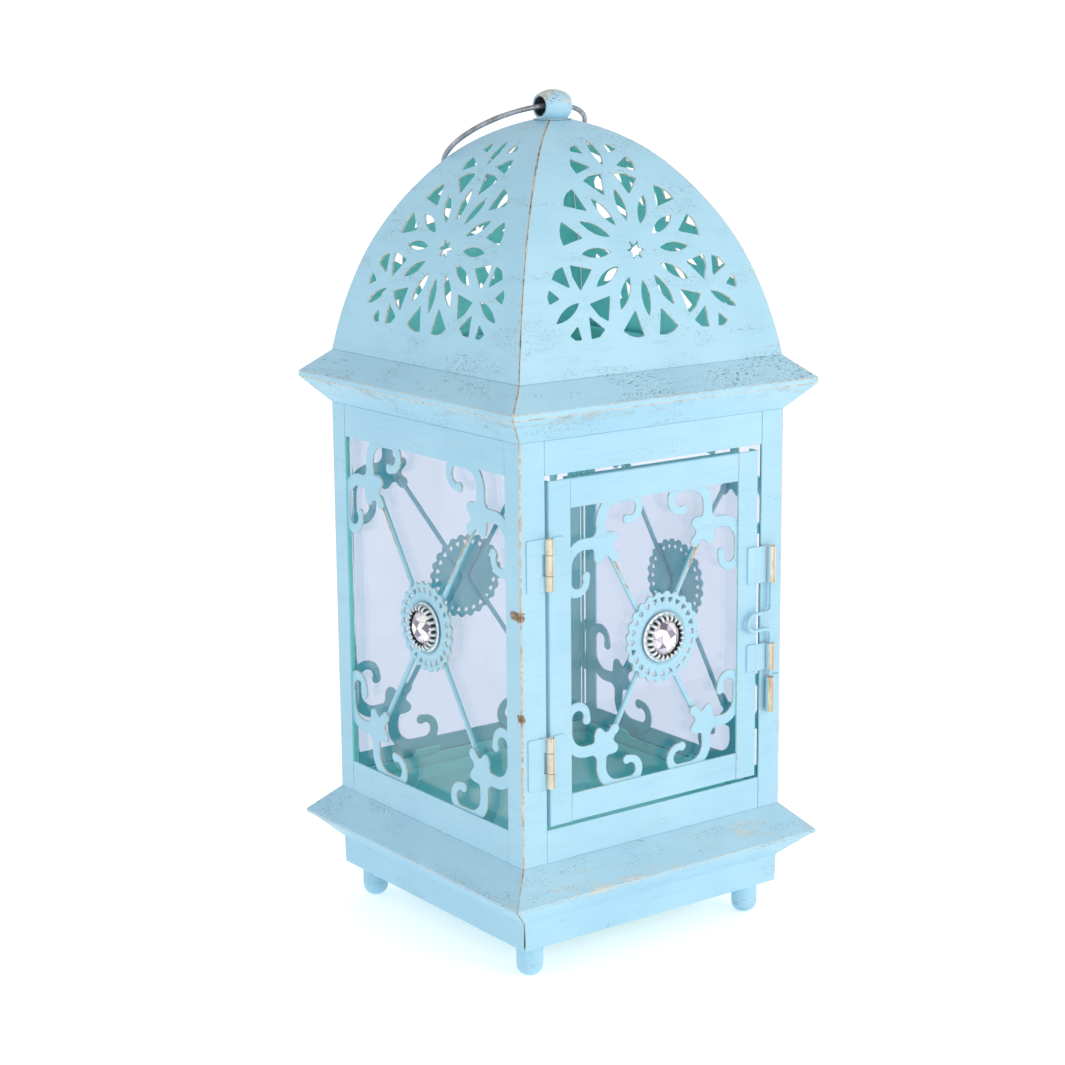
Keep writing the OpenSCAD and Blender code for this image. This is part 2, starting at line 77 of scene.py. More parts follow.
def W(k, x, d, z):
    """Wall k: x along it, d outward from the lantern's middle, z up."""
    c, s = [(1, 0), (0, 1), (-1, 0), (0, -1)][k]
    x, d, z = np.broadcast_arrays(np.asarray(x, float), np.asarray(d, float), np.asarray(z, float))
    return np.stack([x * c + d * s, x * s - d * c, z], -1)


# ------------------------------------------------------------- mesh assembly
class Shell:
    """Vertices in mm, faces, and named vertex values; several closed shells go in one piece."""

    def __init__(self):
        self.v, self.f, self.a, self.n = [], [], {}, 0

    def add(self, verts, faces, **values):
        verts = np.asarray(verts, float).reshape(-1, 3)
        for key in set(self.a) | set(values):
            past = self.a.setdefault(key, [np.zeros(self.n)] if self.n else [])
            val = values.get(key, 0.0)
            past.append(np.broadcast_to(np.asarray(val, float), (len(verts),)).copy())
        self.v.append(verts)
        self.f += [tuple(int(i) + self.n for i in f) for f in faces]
        self.n += len(verts)
        return self

    def make(self, name, body, material, slot, *nodes, weighted=True, flat=False):
        mesh = bpy.data.meshes.new(name)
        mesh.from_pydata((np.concatenate(self.v) * 0.001).tolist(), [], self.f)
        for key, parts in self.a.items():
            mesh.attributes.new(key, "FLOAT", "POINT").data.foreach_set("value", np.concatenate(parts).astype(np.float32))
        bm = bmesh.new()
        bm.from_mesh(mesh)
        bmesh.ops.recalc_face_normals(bm, faces=bm.faces[:])
        bm.to_mesh(mesh)
        bm.free()
        mesh.polygons.foreach_set("use_smooth", [not flat] * len(mesh.polygons))
        mesh.update()
        ob = bpy.data.objects.new(name, mesh)
        bpy.context.scene.collection.objects.link(ob)
        if not flat:
            mesh.set_sharp_from_angle(angle=math.radians(50))
        if weighted and not flat:
            m = ob.modifiers.new("normals", "WEIGHTED_NORMAL")
            m.keep_sharp = True
            m.weight = 60
        mesh.materials.append(material)
        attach(ob, body)
        if nodes:
            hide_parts(*nodes)
        return ob


# ---------------------------------------------------------------- 2D helpers
def area(p):
    q = np.roll(p, -1, 0)
    return 0.5 * float(np.sum(p[:, 0] * q[:, 1] - q[:, 0] * p[:, 1]))


def oriented(p, positive=True):
    p = np.asarray(p, float)
    return p if (area(p) > 0) == positive else p[::-1]


def resample(p, step, closed=True):
    p = np.asarray(p, float)
    out = []
    m = len(p) if closed else len(p) - 1
    for i in range(m):
        a, b = p[i], p[(i + 1) % len(p)]
        n = max(1, int(math.ceil(np.linalg.norm(b - a) / step)))
        out += [a + (b - a) * j / n for j in range(n)]
    if not closed:
        out.append(p[-1])
    return np.array(out)


def rounded(p, r, steps=3, closed=True, limit=150):
    """Corners sharper than the limit angle become small curves; r is a number or one for each corner."""
    p = np.asarray(p, float)
    n, out = len(p), []
    for i in range(n):
        ri = r[i] if hasattr(r, "__len__") else r
        if (not closed and i in (0, n - 1)) or ri <= 0:
            out.append(p[i])
            continue
        a, b, c = p[i - 1], p[i], p[(i + 1) % n]
        u, w = a - b, c - b
        lu, lw = np.linalg.norm(u), np.linalg.norm(w)
        ang = math.degrees(math.acos(np.clip(u @ w / (lu * lw), -1, 1)))
        if ang > limit:
            out.append(b)
            continue
        cut = min(ri / math.tan(math.radians(ang) / 2), 0.45 * lu, 0.45 * lw)
        s, e = b + u / lu * cut, b + w / lw * cut
        for j in range(steps + 1):
            t = j / steps
            out.append((1 - t) ** 2 * s + 2 * t * (1 - t) * b + t * t * e)
    return np.array(out)


def chaikin(p, times=1):
    for _ in range(times):
        q = np.roll(p, -1, 0)
        p = np.stack([0.75 * p + 0.25 * q, 0.25 * p + 0.75 * q], 1).reshape(-1, 2)
    return p


def inset(p, d):
    """Moves a closed loop to its left by d."""
    e = np.roll(p, -1, 0) - p
    e /= np.maximum(np.linalg.norm(e, axis=1, keepdims=True), 1e-9)
    n2 = np.stack([-e[:, 1], e[:, 0]], 1)
    n1 = np.roll(n2, 1, 0)
    m = n1 + n2
    m /= np.maximum(np.linalg.norm(m, axis=1, keepdims=True), 1e-9)
    return p + m * (d / np.maximum(np.sum(m * n1, 1, keepdims=True), 0.5))


def contains(P, poly):
    x, y = P[:, 0][:, None], P[:, 1][:, None]
    b = np.roll(poly, -1, 0)
    cond = (poly[:, 1] > y) != (b[:, 1] > y)
    with np.errstate(divide="ignore", invalid="ignore"):
        xc = poly[:, 0] + (y - poly[:, 1]) / (b[:, 1] - poly[:, 1]) * (b[:, 0] - poly[:, 0])
    return (np.sum(cond & (x < xc), 1) % 2) == 1


def union(polys):
    """Outline loops of the union of polygons, with the material on the left."""
    vs, es = [], []
    for p in polys:
        o, m = len(vs), len(p)
        vs += [Vector((float(q[0]), float(q[1]))) for q in p]
        es += [(o + i, o + (i + 1) % m) for i in range(m)]
    V, _, F, *_ = delaunay_2d_cdt(vs, es, [], 0, 1e-6)
    V = np.array([(v.x, v.y) for v in V])
    F = np.array([f for f in F if len(f) == 3])
    c = V[F].mean(1)
    keep = np.zeros(len(F), bool)
    for p in polys:
        keep |= contains(c, p)
    F = F[keep]
    e = {}
    for f in F:
        a = V[f[1]] - V[f[0]]
        b = V[f[2]] - V[f[0]]
        g = f if a[0] * b[1] - a[1] * b[0] > 0 else f[::-1]
        for i in range(3):
            e[(int(g[i]), int(g[(i + 1) % 3]))] = 1
    nxt = {}
    for a, b in e:
        if (b, a) not in e:
            nxt.setdefault(a, []).append(b)
    loops = []
    while nxt:
        start = next(iter(nxt))
        loop, at = [], start
        while at in nxt:
            loop.append(at)
            to = nxt[at].pop()
            if not nxt[at]:
                del nxt[at]
            at = to
        q = V[loop]
        keep_pts = np.linalg.norm(np.roll(q, -1, 0) - q, axis=1) > 0.02
        q = q[keep_pts]
        if len(q) > 4 and abs(area(q)) > 0.05:
            loops.append(q)
    return loops


def sheet(shell, loops, t, b, grid, put, wear=1.0, relief=None, extra=None, guard=0.0):
    """A cut sheet with rounded rims. Loops hold the material on their left; put(x, y, h) gives places in mm, h from 0 (inner face) to t."""
    steps = [0.0, 45.0, 90.0]
    rings = []
    for th in steps:
        a = math.radians(th)
        rings.append((b * (1 - math.sin(a)), t - b * (1 - math.cos(a)), [0.12, 0.8, 1.0][steps.index(th)], 0.0))
    # the rims and face on the inner side carry the inner value, which the paint turns into painted shade
    for th in reversed(steps):
        a = math.radians(th)
        rings.append((b * (1 - math.sin(a)), b * (1 - math.cos(a)), [0.1, 0.5, 0.8][steps.index(th)], 0.6 if th else 1.0))
    top = [inset(p, b) for p in loops]
    # cap
    vs, es = [], []
    for p in top:
        o, m = len(vs), len(p)
        vs += [tuple(q) for q in p]
        es += [(o + i, o + (i + 1) % m) for i in range(m)]
    ring_pts = np.array(vs)
    nb = len(vs)
    if guard:
        # a second row just inside the outer rim keeps its wear narrow
        row = inset(loops[0], b + guard)
        odd = np.zeros(len(row), int)
        for p in top:
            odd += contains(row, p)
        row = row[odd % 2 == 1]
        vs += [tuple(q) for q in row]
        ring_pts = np.array(vs)
    if grid:
        lo, hi = ring_pts.min(0), ring_pts.max(0)
        gx, gy = np.meshgrid(np.arange(lo[0] + grid / 2, hi[0], grid), np.arange(lo[1] + grid / 2, hi[1], grid * 0.87))
        gx[1::2] += grid / 2
        pts = np.stack([gx.ravel(), gy.ravel()], 1)
        odd = np.zeros(len(pts), int)
        for p in top:
            odd += contains(pts, p)
        pts = pts[odd % 2 == 1]
        if len(pts):
            far = np.concatenate([np.sqrt(((c[:, None] - ring_pts[None]) ** 2).sum(2)).min(1) for c in np.array_split(pts, max(1, len(pts) // 400))])
            pts = pts[far > grid * 0.45]
            vs += [tuple(q) for q in pts]
    V, _, F, ov, *_ = delaunay_2d_cdt([Vector(q) for q in vs], es, [], 0, 1e-7)
    V = np.array([(v.x, v.y) for v in V])
    F = np.array([f for f in F if len(f) == 3])
    c = V[F].mean(1)
    odd = np.zeros(len(F), int)
    for p in top:
        odd += contains(c, p)
    F = F[odd % 2 == 1]
    back = {}
    for i, src in enumerate(ov):
        for s in src:
            back[s] = i
    # all rings
    P, H, wr, inn = [], [], [], []
    for d, h, w_, i_ in rings:
        q = np.concatenate([inset(p, d) for p in loops])
        P.append(q)
        H.append(np.full(len(q), h))
        wr.append(np.full(len(q), w_ * wear))
        inn.append(np.full(len(q), i_))
    n = nb
    faces = []
    o = 0
    for p in loops:
        m = len(p)
        for r in range(len(rings) - 1):
            for i in range(m):
                a, b_ = o + i, o + (i + 1) % m
                faces.append((r * n + a, r * n + b_, (r + 1) * n + b_, (r + 1) * n + a))
        o += m
    total = n * len(rings)
    # caps reuse the first and last ring where they can
    where_top, where_bot = {}, {}
    for s, i in back.items():
        if s < nb:
            where_top.setdefault(i, s)
            where_bot.setdefault(i, (len(rings) - 1) * n + s)
    addP, addH, addw, addi = [], [], [], []
    for i in range(len(V)):
        if i not in where_top:
            where_top[i] = total + len(addP)
            addP.append(V[i]); addH.append(t); addw.append(0.0); addi.append(0.0)
            where_bot[i] = total + len(addP)
            addP.append(V[i]); addH.append(0.0); addw.append(0.0); addi.append(1.0)
    for f in F:
        faces.append(tuple(where_top[int(i)] for i in f))
        faces.append(tuple(where_bot[int(i)] for i in f[::-1]))
    if addP:
        P.append(np.array(addP)); H.append(np.array(addH)); wr.append(np.array(addw)); inn.append(np.array(addi))
    P, H, wr, inn = map(np.concatenate, (P, H, wr, inn))
    if relief is not None:
        H = H + np.where(H > t * 0.5, relief(P[:, 0], P[:, 1]), 0.0)
    vals = dict(wear=wr, inner=inn)
    if extra is not None:
        for key, fn in extra.items():
            if key == "wear":
                vals["wear"] = np.maximum(wr, fn(P[:, 0], P[:, 1]) * (H > t * 0.3))
            else:
                vals[key] = fn(P[:, 0], P[:, 1])
    shell.add(put(P[:, 0], P[:, 1], H), faces, **vals)


def rect(x0, x1, z0, z1, r=0.12, step=4.0):
    return resample(rounded([[x0, z0], [x1, z0], [x1, z1], [x0, z1]], r, 3), step)


def wobble(x, z, amp, size, seed):
    out = np.zeros(len(x))
    for i in range(len(x)):
        out[i] = noise.noise(Vector((x[i] / size + seed * 7.3, z[i] / size, seed * 3.1)))
    return out * amp


# ----------------------------------------------------- folded strips, extruded
def fold_path(points, radii, wears, steps=5, spread=0.9):
    """A folded sheet's outer line with round bends. Gives points, their wear, and extra points beside each bend so that wear fades over a short way."""
    pts, out, wr = np.asarray(points, float), [], []
    n = len(pts)
    for i in range(n):
        if i in (0, n - 1):
            out.append(pts[i])
            wr.append(wears[i])
            continue
        a, b, c = pts[i - 1], pts[i], pts[i + 1]
        u, w = a - b, c - b
        lu, lw = np.linalg.norm(u), np.linalg.norm(w)
        u, w = u / lu, w / lw
        ang = math.acos(np.clip(u @ w, -1, 1))
        cut = min(radii[i] / math.tan(ang / 2), 0.3 * lu, 0.3 * lw)
        s1, s2 = min(cut + spread, 0.45 * lu), min(cut + spread, 0.45 * lw)
        if s1 > cut + 0.15:
            out.append(b + u * s1)
            wr.append(0.0)
        for j in range(steps + 1):
            t = j / steps
            out.append((1 - t) ** 2 * (b + u * cut) + 2 * t * (1 - t) * b + t * t * (b + w * cut))
            wr.append(wears[i] * (0.6 + 0.4 * math.sin(math.pi * t)))
        if s2 > cut + 0.15:
            out.append(b + w * s2)
            wr.append(0.0)
    return np.array(out), np.array(wr)


def offset_path(P, t):
    """Open path moved to its left by t."""
    d = np.diff(P, axis=0)
    d /= np.maximum(np.linalg.norm(d, axis=1, keepdims=True), 1e-9)
    nl = np.stack([-d[:, 1], d[:, 0]], 1)
    n1 = np.vstack([nl[:1], nl])
    n2 = np.vstack([nl, nl[-1:]])
    m = n1 + n2
    m /= np.maximum(np.linalg.norm(m, axis=1, keepdims=True), 1e-9)
    return m / np.maximum(np.sum(m * n1, 1, keepdims=True), 0.6), P + m * (t / np.maximum(np.sum(m * n1, 1, keepdims=True), 0.6))


def strip_solid(shell, P, t, wr, stations, put, inner_side=True, extra=None):
    """Extrudes the strip of thickness t to the left of path P. Each station is (u, contraction, wear); put(a, b, u) gives places."""
    m, Q = offset_path(P, t)
    n = len(P)
    V, we, inn, ax, sid = [], [], [], [], []
    for u, con, wst in stations:
        A, B = P + m * con, Q - m * con
        V.append(put(A[:, 0], A[:, 1], u))
        V.append(put(B[::-1, 0], B[::-1, 1], u))
        we += [np.maximum(wr, wst), np.maximum(wr[::-1] * 0.3, wst * 0.5)]
        # the strip's inner side carries the inner value, which the paint turns into painted shade
        inn += [np.zeros(n), np.ones(n)]
    R = 2 * n
    faces = []
    for s in range(len(stations) - 1):
        for i in range(R):
            j = (i + 1) % R
            faces.append((s * R + i, s * R + j, (s + 1) * R + j, (s + 1) * R + i))
    for base, flip in ((0, True), ((len(stations) - 1) * R, False)):
        for i in range(n - 1):
            q = (base + i, base + i + 1, base + R - 2 - i, base + R - 1 - i)
            faces.append(q[::-1] if flip else q)
    vals = dict(wear=np.concatenate(we), inner=np.concatenate(inn) if inner_side else 0.0)
    V = np.concatenate(V)
    if extra:
        for key, fn in extra.items():
            vals[key] = fn(V)
    shell.add(V, faces, **vals)


def mitred(shell, k, path, radii, wears, t, seed, amp=0.05, extra=None, end_wear=0.8):
    P, wr = fold_path(path, radii, wears)
    span = 40.0
    us = [-1, -1, -0.985, -0.96] + list(np.linspace(-0.92, 0.92, 33)) + [0.96, 0.985, 1, 1]
    st = []
    for i, u in enumerate(us):
        edge = i in (0, len(us) - 1)
        near = i in (1, len(us) - 2)
        st.append(((u, 0.0 if edge else (0.12 if near else None)), 0.13 if edge else 0.0, end_wear if edge or near else (end_wear * 0.45 if abs(u) > 0.98 else 0.0)))
    stations = [((u, dx), con, w) for (u, dx), con, w in st]

    def put(d, z, ud):
        u, dx = ud
        x = u * (d - G)
        if dx is not None:
            x = x - math.copysign(dx, u)
        wob = np.array([noise.noise(Vector((float(xx) / 17 + seed * 5.1, float(zz) / 9, seed))) for xx, zz in zip(x, z)]) * amp * (1 - abs(u) ** 8)
        return W(k, x, d + wob * np.clip((d - 40.5) / 4, 0.25, 1), z + wob * 0.4 * np.clip((d - 40.5) / 4, 0, 1))

    strip_solid(shell, P, t, wr, stations, put, extra=extra)


# ------------------------------------------------------------ tubes and lathes
def tube(shell, pts, r, sides=14, closed=False, caps=True, **vals):
    pts = np.asarray(pts, float)
    n = len(pts)
    r = np.broadcast_to(np.asarray(r, float), (n,)).copy()
    if not closed and caps:
        d0 = (pts[0] - pts[1]) / np.linalg.norm(pts[0] - pts[1])
        d1 = (pts[-1] - pts[-2]) / np.linalg.norm(pts[-1] - pts[-2])
        k = 0.35
        pts = np.vstack([pts[0] , pts[0] - d0 * r[0] * k * 0.4, pts[0] - d0 * r[0] * k, pts[1:-1], pts[-1] - d1 * r[-1] * k, pts[-1] - d1 * r[-1] * k * 0.4, pts[-1]])
        r = np.concatenate([[r[0] * 0.62, r[0] * 0.9, r[0]], r[1:-1], [r[-1], r[-1] * 0.9, r[-1] * 0.62]])
        n = len(pts)
    if closed:
        T = np.roll(pts, -1, 0) - np.roll(pts, 1, 0)
    else:
        T = np.gradient(pts, axis=0)
    T /= np.linalg.norm(T, axis=1, keepdims=True)
    ref = np.array([0.0, 0.0, 1.0]) if abs(T[0][2]) < 0.9 else np.array([0.0, 1.0, 0.0])
    N = np.cross(T[0], ref)
    N /= np.linalg.norm(N)
    V, A = [], []
    ang = np.linspace(0, 2 * math.pi, sides, endpoint=False)
    first = N.copy()
    for i in range(n):
        N = N - T[i] * (N @ T[i])
        N /= np.linalg.norm(N)
        B = np.cross(T[i], N)
        V.append(pts[i] + r[i] * (np.cos(ang)[:, None] * N + np.sin(ang)[:, None] * B))
    faces = []
    m = n if closed else n - 1
    for i in range(m):
        for j in range(sides):
            a, b = i * sides + j, i * sides + (j + 1) % sides
            c, d = ((i + 1) % n) * sides + (j + 1) % sides, ((i + 1) % n) * sides + j
            faces.append((a, b, c, d))
    if not closed:
        faces.append(tuple(range(sides))[::-1])
        faces.append(tuple((n - 1) * sides + j for j in range(sides)))
    V = np.concatenate(V)
    shell.add(V, faces, **{k: (fn(V) if callable(fn) else fn) for k, fn in vals.items()})


def lathe(shell, prof, put, segs=48, closed=False, **vals):
    """prof is (r, h) pairs; put(x, y, h). An open profile that ends on the axis closes itself there."""
    prof = np.asarray(prof, float)
    ang = np.linspace(0, 2 * math.pi, segs, endpoint=False)
    V, faces, idx, cnt = [], [], [], 0
    for r, h in prof:
        if r < 1e-6:
            V.append([[0, 0, h]])
            idx.append([cnt] * segs)
            cnt += 1
        else:
            V.append(np.stack([r * np.cos(ang), r * np.sin(ang), np.full(segs, h)], 1))
            idx.append(list(range(cnt, cnt + segs)))
            cnt += segs
    m = len(prof) if closed else len(prof) - 1
    for i in range(m):
        a, b = idx[i], idx[(i + 1) % len(prof)]
        for j in range(segs):
            q = [a[j], a[(j + 1) % segs], b[(j + 1) % segs], b[j]]
            q = [x for n_, x in enumerate(q) if x not in q[:n_]]
            if len(q) > 2:
                faces.append(tuple(q))
    V = np.concatenate([np.asarray(v, float) for v in V])
    shell.add(put(V[:, 0], V[:, 1], V[:, 2]), faces, **{k: (fn(V) if callable(fn) else fn) for k, fn in vals.items()})


# ------------------------------------------------------------------ materials
def srgb(r, g, b):
    return tuple(((c / 255) / 12.92 if c / 255 <= 0.04045 else ((c / 255 + 0.055) / 1.055) ** 2.4) for c in (r, g, b)) + (1.0,)


class Nodes:
    def __init__(self, name):
        self.m = bpy.data.materials.new(name)
        self.m.use_nodes = True
        self.t = self.m.node_tree
        self.t.nodes.clear()
        self.out = self.t.nodes.new("ShaderNodeOutputMaterial")
        self.bsdf = self.t.nodes.new("ShaderNodeBsdfPrincipled")
        self.t.links.new(self.bsdf.outputs[0], self.out.inputs[0])
        self.co = self.t.nodes.new("ShaderNodeTexCoord").outputs["Object"]

    def put(self, socket, value):
        if isinstance(value, bpy.types.NodeSocket):
            self.t.links.new(value, socket)
        else:
            socket.default_value = value

    def math(self, op, a, b=0.0, c=0.0, clamp=False):
        n = self.t.nodes.new("ShaderNodeMath")
        n.operation = op
        n.use_clamp = clamp
        for s, v in zip(n.inputs, (a, b, c)):
            self.put(s, v)
        return n.outputs[0]

    def attr(self, name):
        n = self.t.nodes.new("ShaderNodeAttribute")
        n.attribute_name = name
        return n.outputs["Fac"]

    def mapped(self, scale, loc=(0, 0, 0), vec=None):
        n = self.t.nodes.new("ShaderNodeMapping")
        self.put(n.inputs["Vector"], vec or self.co)
        n.inputs["Scale"].default_value = scale
        n.inputs["Location"].default_value = loc
        return n.outputs[0]

    def noise(self, vec, scale=1.0, detail=3.0, rough=0.55, dist=0.0):
        n = self.t.nodes.new("ShaderNodeTexNoise")
        self.put(n.inputs["Vector"], vec)
        n.inputs["Scale"].default_value = scale
        n.inputs["Detail"].default_value = detail
        n.inputs["Roughness"].default_value = rough
        n.inputs["Distortion"].default_value = dist
        return n.outputs["Fac"]

    def ramp(self, fac, lo, hi, a=0.0, b=1.0):
        n = self.t.nodes.new("ShaderNodeMapRange")
        n.clamp = True
        self.put(n.inputs["Value"], fac)
        n.inputs["From Min"].default_value = lo
        n.inputs["From Max"].default_value = hi
        n.inputs["To Min"].default_value = a
        n.inputs["To Max"].default_value = b
        return n.outputs["Result"]

    def mix(self, fac, a, b):
        n = self.t.nodes.new("ShaderNodeMix")
        n.data_type = "RGBA"
        self.put(n.inputs["Factor"], fac)
        for s in n.inputs:
            if s.name == "A" and s.type == "RGBA":
                self.put(s, a)
            if s.name == "B" and s.type == "RGBA":
                self.put(s, b)
        return [s for s in n.outputs if s.type == "RGBA"][0]

    def bump(self, height, strength, distance):
        n = self.t.nodes.new("ShaderNodeBump")
        self.put(n.inputs["Height"], height)
        n.inputs["Strength"].default_value = strength
        n.inputs["Distance"].default_value = distance
        self.t.links.new(n.outputs[0], self.bsdf.inputs["Normal"])

    def set(self, **kw):
        for key, value in kw.items():
            self.put(self.bsdf.inputs[key.replace("_", " ")], value)
        return self.m

    def along(self, su, sz, loc=0.0):
        """A vector that runs along any wall (x + y) and up it."""
        sep = self.t.nodes.new("ShaderNodeSeparateXYZ")
        self.put(sep.inputs[0], self.co)
        u = self.math("ADD", sep.outputs[0], sep.outputs[1])
        com = self.t.nodes.new("ShaderNodeCombineXYZ")
        self.put(com.inputs[0], self.math("MULTIPLY", u, su))
        self.put(com.inputs[1], self.math("MULTIPLY_ADD", self.math("SUBTRACT", sep.outputs[0], sep.outputs[1]), su * 0.31, loc))
        self.put(com.inputs[2], self.math("MULTIPLY", sep.outputs[2], sz))
        return com.outputs[0]


BLUE = srgb(158, 205, 227)
BLUE_LIGHT = srgb(167, 212, 232)
BLUE_DEEP = srgb(140, 192, 217)
# the two teals below are painted shade for the faces inside the lantern
TEAL_SHADE = srgb(136, 226, 224)
TEAL_SHADE_LIGHT = srgb(152, 236, 234)
CREAM = srgb(208, 206, 196)
TAN = srgb(174, 166, 150)
BROWN = srgb(98, 88, 78)
GREYBROWN = srgb(100, 106, 113)


def paint(name, scratch=0.1, patch=0.0, rim=1.0, inner=1.0, gold=0.0, near_black_shade=False, chips=(), all_inner=False, rubbed=None):
    n = Nodes(name)
    # slow cloudiness and faint brushed streaks along the wall
    cloud = n.noise(n.mapped((38, 38, 38)), 1.0, 3.0, 0.6)
    streak = n.noise(n.along(85, 900), 1.0, 3.0, 0.6)
    col = n.mix(n.ramp(cloud, 0.35, 0.68), BLUE, BLUE_LIGHT)
    col = n.mix(n.ramp(streak, 0.52, 0.72, 0.0, 0.28), col, BLUE_DEEP)
    # inside faces take a teal colour that is painted shade, for the shade inside the lantern; the hanger's inside faces
    # take a near-black painted shade instead
    inn = 1.0 if all_inner else n.attr("inner")
    col = n.mix(n.math("MULTIPLY", inn, inner), col, n.mix(n.ramp(cloud, 0.3, 0.7), TEAL_SHADE, TEAL_SHADE_LIGHT) if not near_black_shade else srgb(48, 60, 64))
    # short dark scratches in drifts, and finer flecks
    scr = n.attr("scr")
    s1 = n.noise(n.along(950, 4400), 1.0, 2.0, 0.5)
    s2 = n.noise(n.along(2500, 5200, 3.1), 1.0, 1.0, 0.5)
    drift = n.noise(n.along(62, 240, 5.0), 1.0, 3.0, 0.6)
    gate = n.math("ADD", n.ramp(drift, 0.36, 0.62), n.math("SUBTRACT", scr, 0.75))
    line = n.ramp(s1, 0.60, 0.66)
    fleck = n.ramp(s2, 0.63, 0.69)
    marks = n.math("MULTIPLY", n.math("MAXIMUM", line, fleck), n.ramp(gate, 0.1, 0.75), clamp=True)
    marks = n.math("MULTIPLY", marks, min(1.0, 0.35 + scratch))
    col = n.mix(marks, col, n.mix(n.ramp(cloud, 0.4, 0.6), GREYBROWN, BROWN))
    # soft tan rubs where the coat is thin
    rub_n = n.noise(n.along(120, 420, 9.0), 1.0, 4.0, 0.7)
    rub = n.math("MULTIPLY", n.ramp(rub_n, 0.50, 0.70), n.math("ADD", n.attr("rub"), patch), clamp=True)
    rub_a, rub_b = rubbed or (TAN, srgb(226, 205, 172))
    col = n.mix(n.math("MULTIPLY", rub, 0.75), col, n.mix(n.ramp(streak, 0.4, 0.6), rub_a, rub_b))
    # chips knocked out of the coat
    chip = None
    for centre, size in chips:
        place_ = n.mapped(tuple(1000 / q for q in size), tuple(-c / q for c, q in zip(centre, size)))
        far = n.t.nodes.new("ShaderNodeVectorMath")
        far.operation = "LENGTH"
        n.put(far.inputs[0], place_)
        rag = n.noise(n.mapped((1100, 1100, 1100)), 1.0, 3.0, 0.6)
        one = n.ramp(n.math("MULTIPLY_ADD", rag, 1.5, far.outputs["Value"]), 1.78, 1.58)
        chip = one if chip is None else n.math("MAXIMUM", chip, one)
    # rims worn to cream undercoat, then brown metal
    wear = n.attr("wear")
    grain = n.noise(n.mapped((900, 900, 900)), 1.0, 4.0, 0.65)
    broad = n.noise(n.mapped((95, 95, 95), (3, 1, 7)), 1.0, 3.0, 0.6)
    level = n.math("ADD", n.math("MULTIPLY", wear, rim), n.math("MULTIPLY_ADD", n.math("ADD", n.math("MULTIPLY", grain, 0.55), broad), 0.62, -0.56))
    cream = n.ramp(level, 0.52, 0.66)
    brown = n.ramp(level, 0.92, 1.04)
    worn_col = n.mix(n.ramp(grain, 0.42, 0.62), CREAM, TAN) if not gold else n.mix(n.ramp(grain, 0.40, 0.62), srgb(206, 188, 150), srgb(160, 140, 108))
    col = n.mix(cream, col, worn_col)
    col = n.mix(brown, col, BROWN)
    if chip is not None:
        col = n.mix(chip, col, n.mix(n.ramp(grain, 0.42, 0.6), srgb(112, 94, 74), srgb(168, 146, 116)))
        brown = n.math("MAXIMUM", brown, chip)
    worn = n.math("MAXIMUM", n.math("MAXIMUM", cream, brown), n.math("MULTIPLY", marks, 0.9))
    # surface
    peel = n.noise(n.mapped((1500, 1500, 1500)), 1.0, 2.0, 0.5)
    height = n.math("SUBTRACT", n.math("MULTIPLY_ADD", peel, 0.35, n.math("MULTIPLY", streak, 0.35)), n.math("MULTIPLY", worn, 0.9))
    n.bump(height, 0.35, 0.00012)
    rough = n.math("ADD", n.ramp(cloud, 0.3, 0.7, 0.36, 0.46), n.math("MULTIPLY", worn, 0.22))
    n.set(Base_Color=col, Roughness=rough, Specular_IOR_Level=0.4, IOR=1.5)
    return n.m


def bare(name, base, second, dark, metallic=0.6, rough=0.45, lines=1.0, flecks=0.4):
    """Bare or thinly coated metal, with long rub lines up it, and dark flecks."""
    n = Nodes(name)
    along = n.noise(n.mapped((900, 900, 90)), 1.0, 3.0, 0.6)
    grain = n.noise(n.mapped((1700, 1700, 1300)), 1.0, 3.0, 0.6)
    big = n.noise(n.mapped((240, 240, 160), (2, 5, 1)), 1.0, 3.0, 0.6)
    col = n.mix(n.ramp(big, 0.38, 0.62), base, second)
    mask = n.math("MULTIPLY", n.ramp(along, 0.56, 0.66), lines)
    lined = n.math("MAXIMUM", mask, n.attr("line"))
    col = n.mix(lined, col, dark)
    fl = n.math("MULTIPLY", n.ramp(grain, 0.58, 0.66), flecks)
    col = n.mix(fl, col, dark)
    blue = n.ramp(n.math("MULTIPLY_ADD", grain, 0.25, n.attr("blue")), 0.5, 0.6)
    col = n.mix(blue, col, n.mix(n.ramp(big, 0.35, 0.65), BLUE, BLUE_LIGHT))
    n.bump(n.math("SUBTRACT", grain, n.math("MULTIPLY", lined, 0.8)), 0.3, 0.00008)
    n.set(Base_Color=col, Metallic=n.math("MULTIPLY_ADD", blue, -metallic, metallic), Roughness=n.ramp(grain, 0.35, 0.65, rough - 0.08, rough + 0.12))
    return n.m


M_BODY = paint("paint_walls", scratch=0.15, rim=0.9)
M_DOME = paint("paint_dome", scratch=0.45, rim=0.92)
M_MOULD = paint("paint_mouldings", scratch=0.50, rim=0.9)
M_CORNICE = paint("paint_cornice", scratch=0.50, rim=0.9, rubbed=(srgb(124, 120, 116), srgb(176, 160, 138)))
M_DOOR = paint("paint_door", scratch=0.08, rim=0.85)
M_GRILLE = paint("paint_grille", scratch=0.12, rim=0.9)
M_WIRE = paint("paint_wires", scratch=0.1, rim=0.9, gold=1.0)
# the hanger's inner faces take near-black painted shade, in the eye's bore and under the neck's shoulder
M_HANG = paint("paint_hanger", scratch=0.7, rim=0.92, near_black_shade=True)
M_CORNER = paint("paint_chipped_corner", scratch=0.15, rim=0.9, chips=[((-40.8, -39.2, 91.2), (1.6, 2.9, 1.3)), ((-40.8, -40.2, 66.6), (1.4, 1.5, 1.4))])
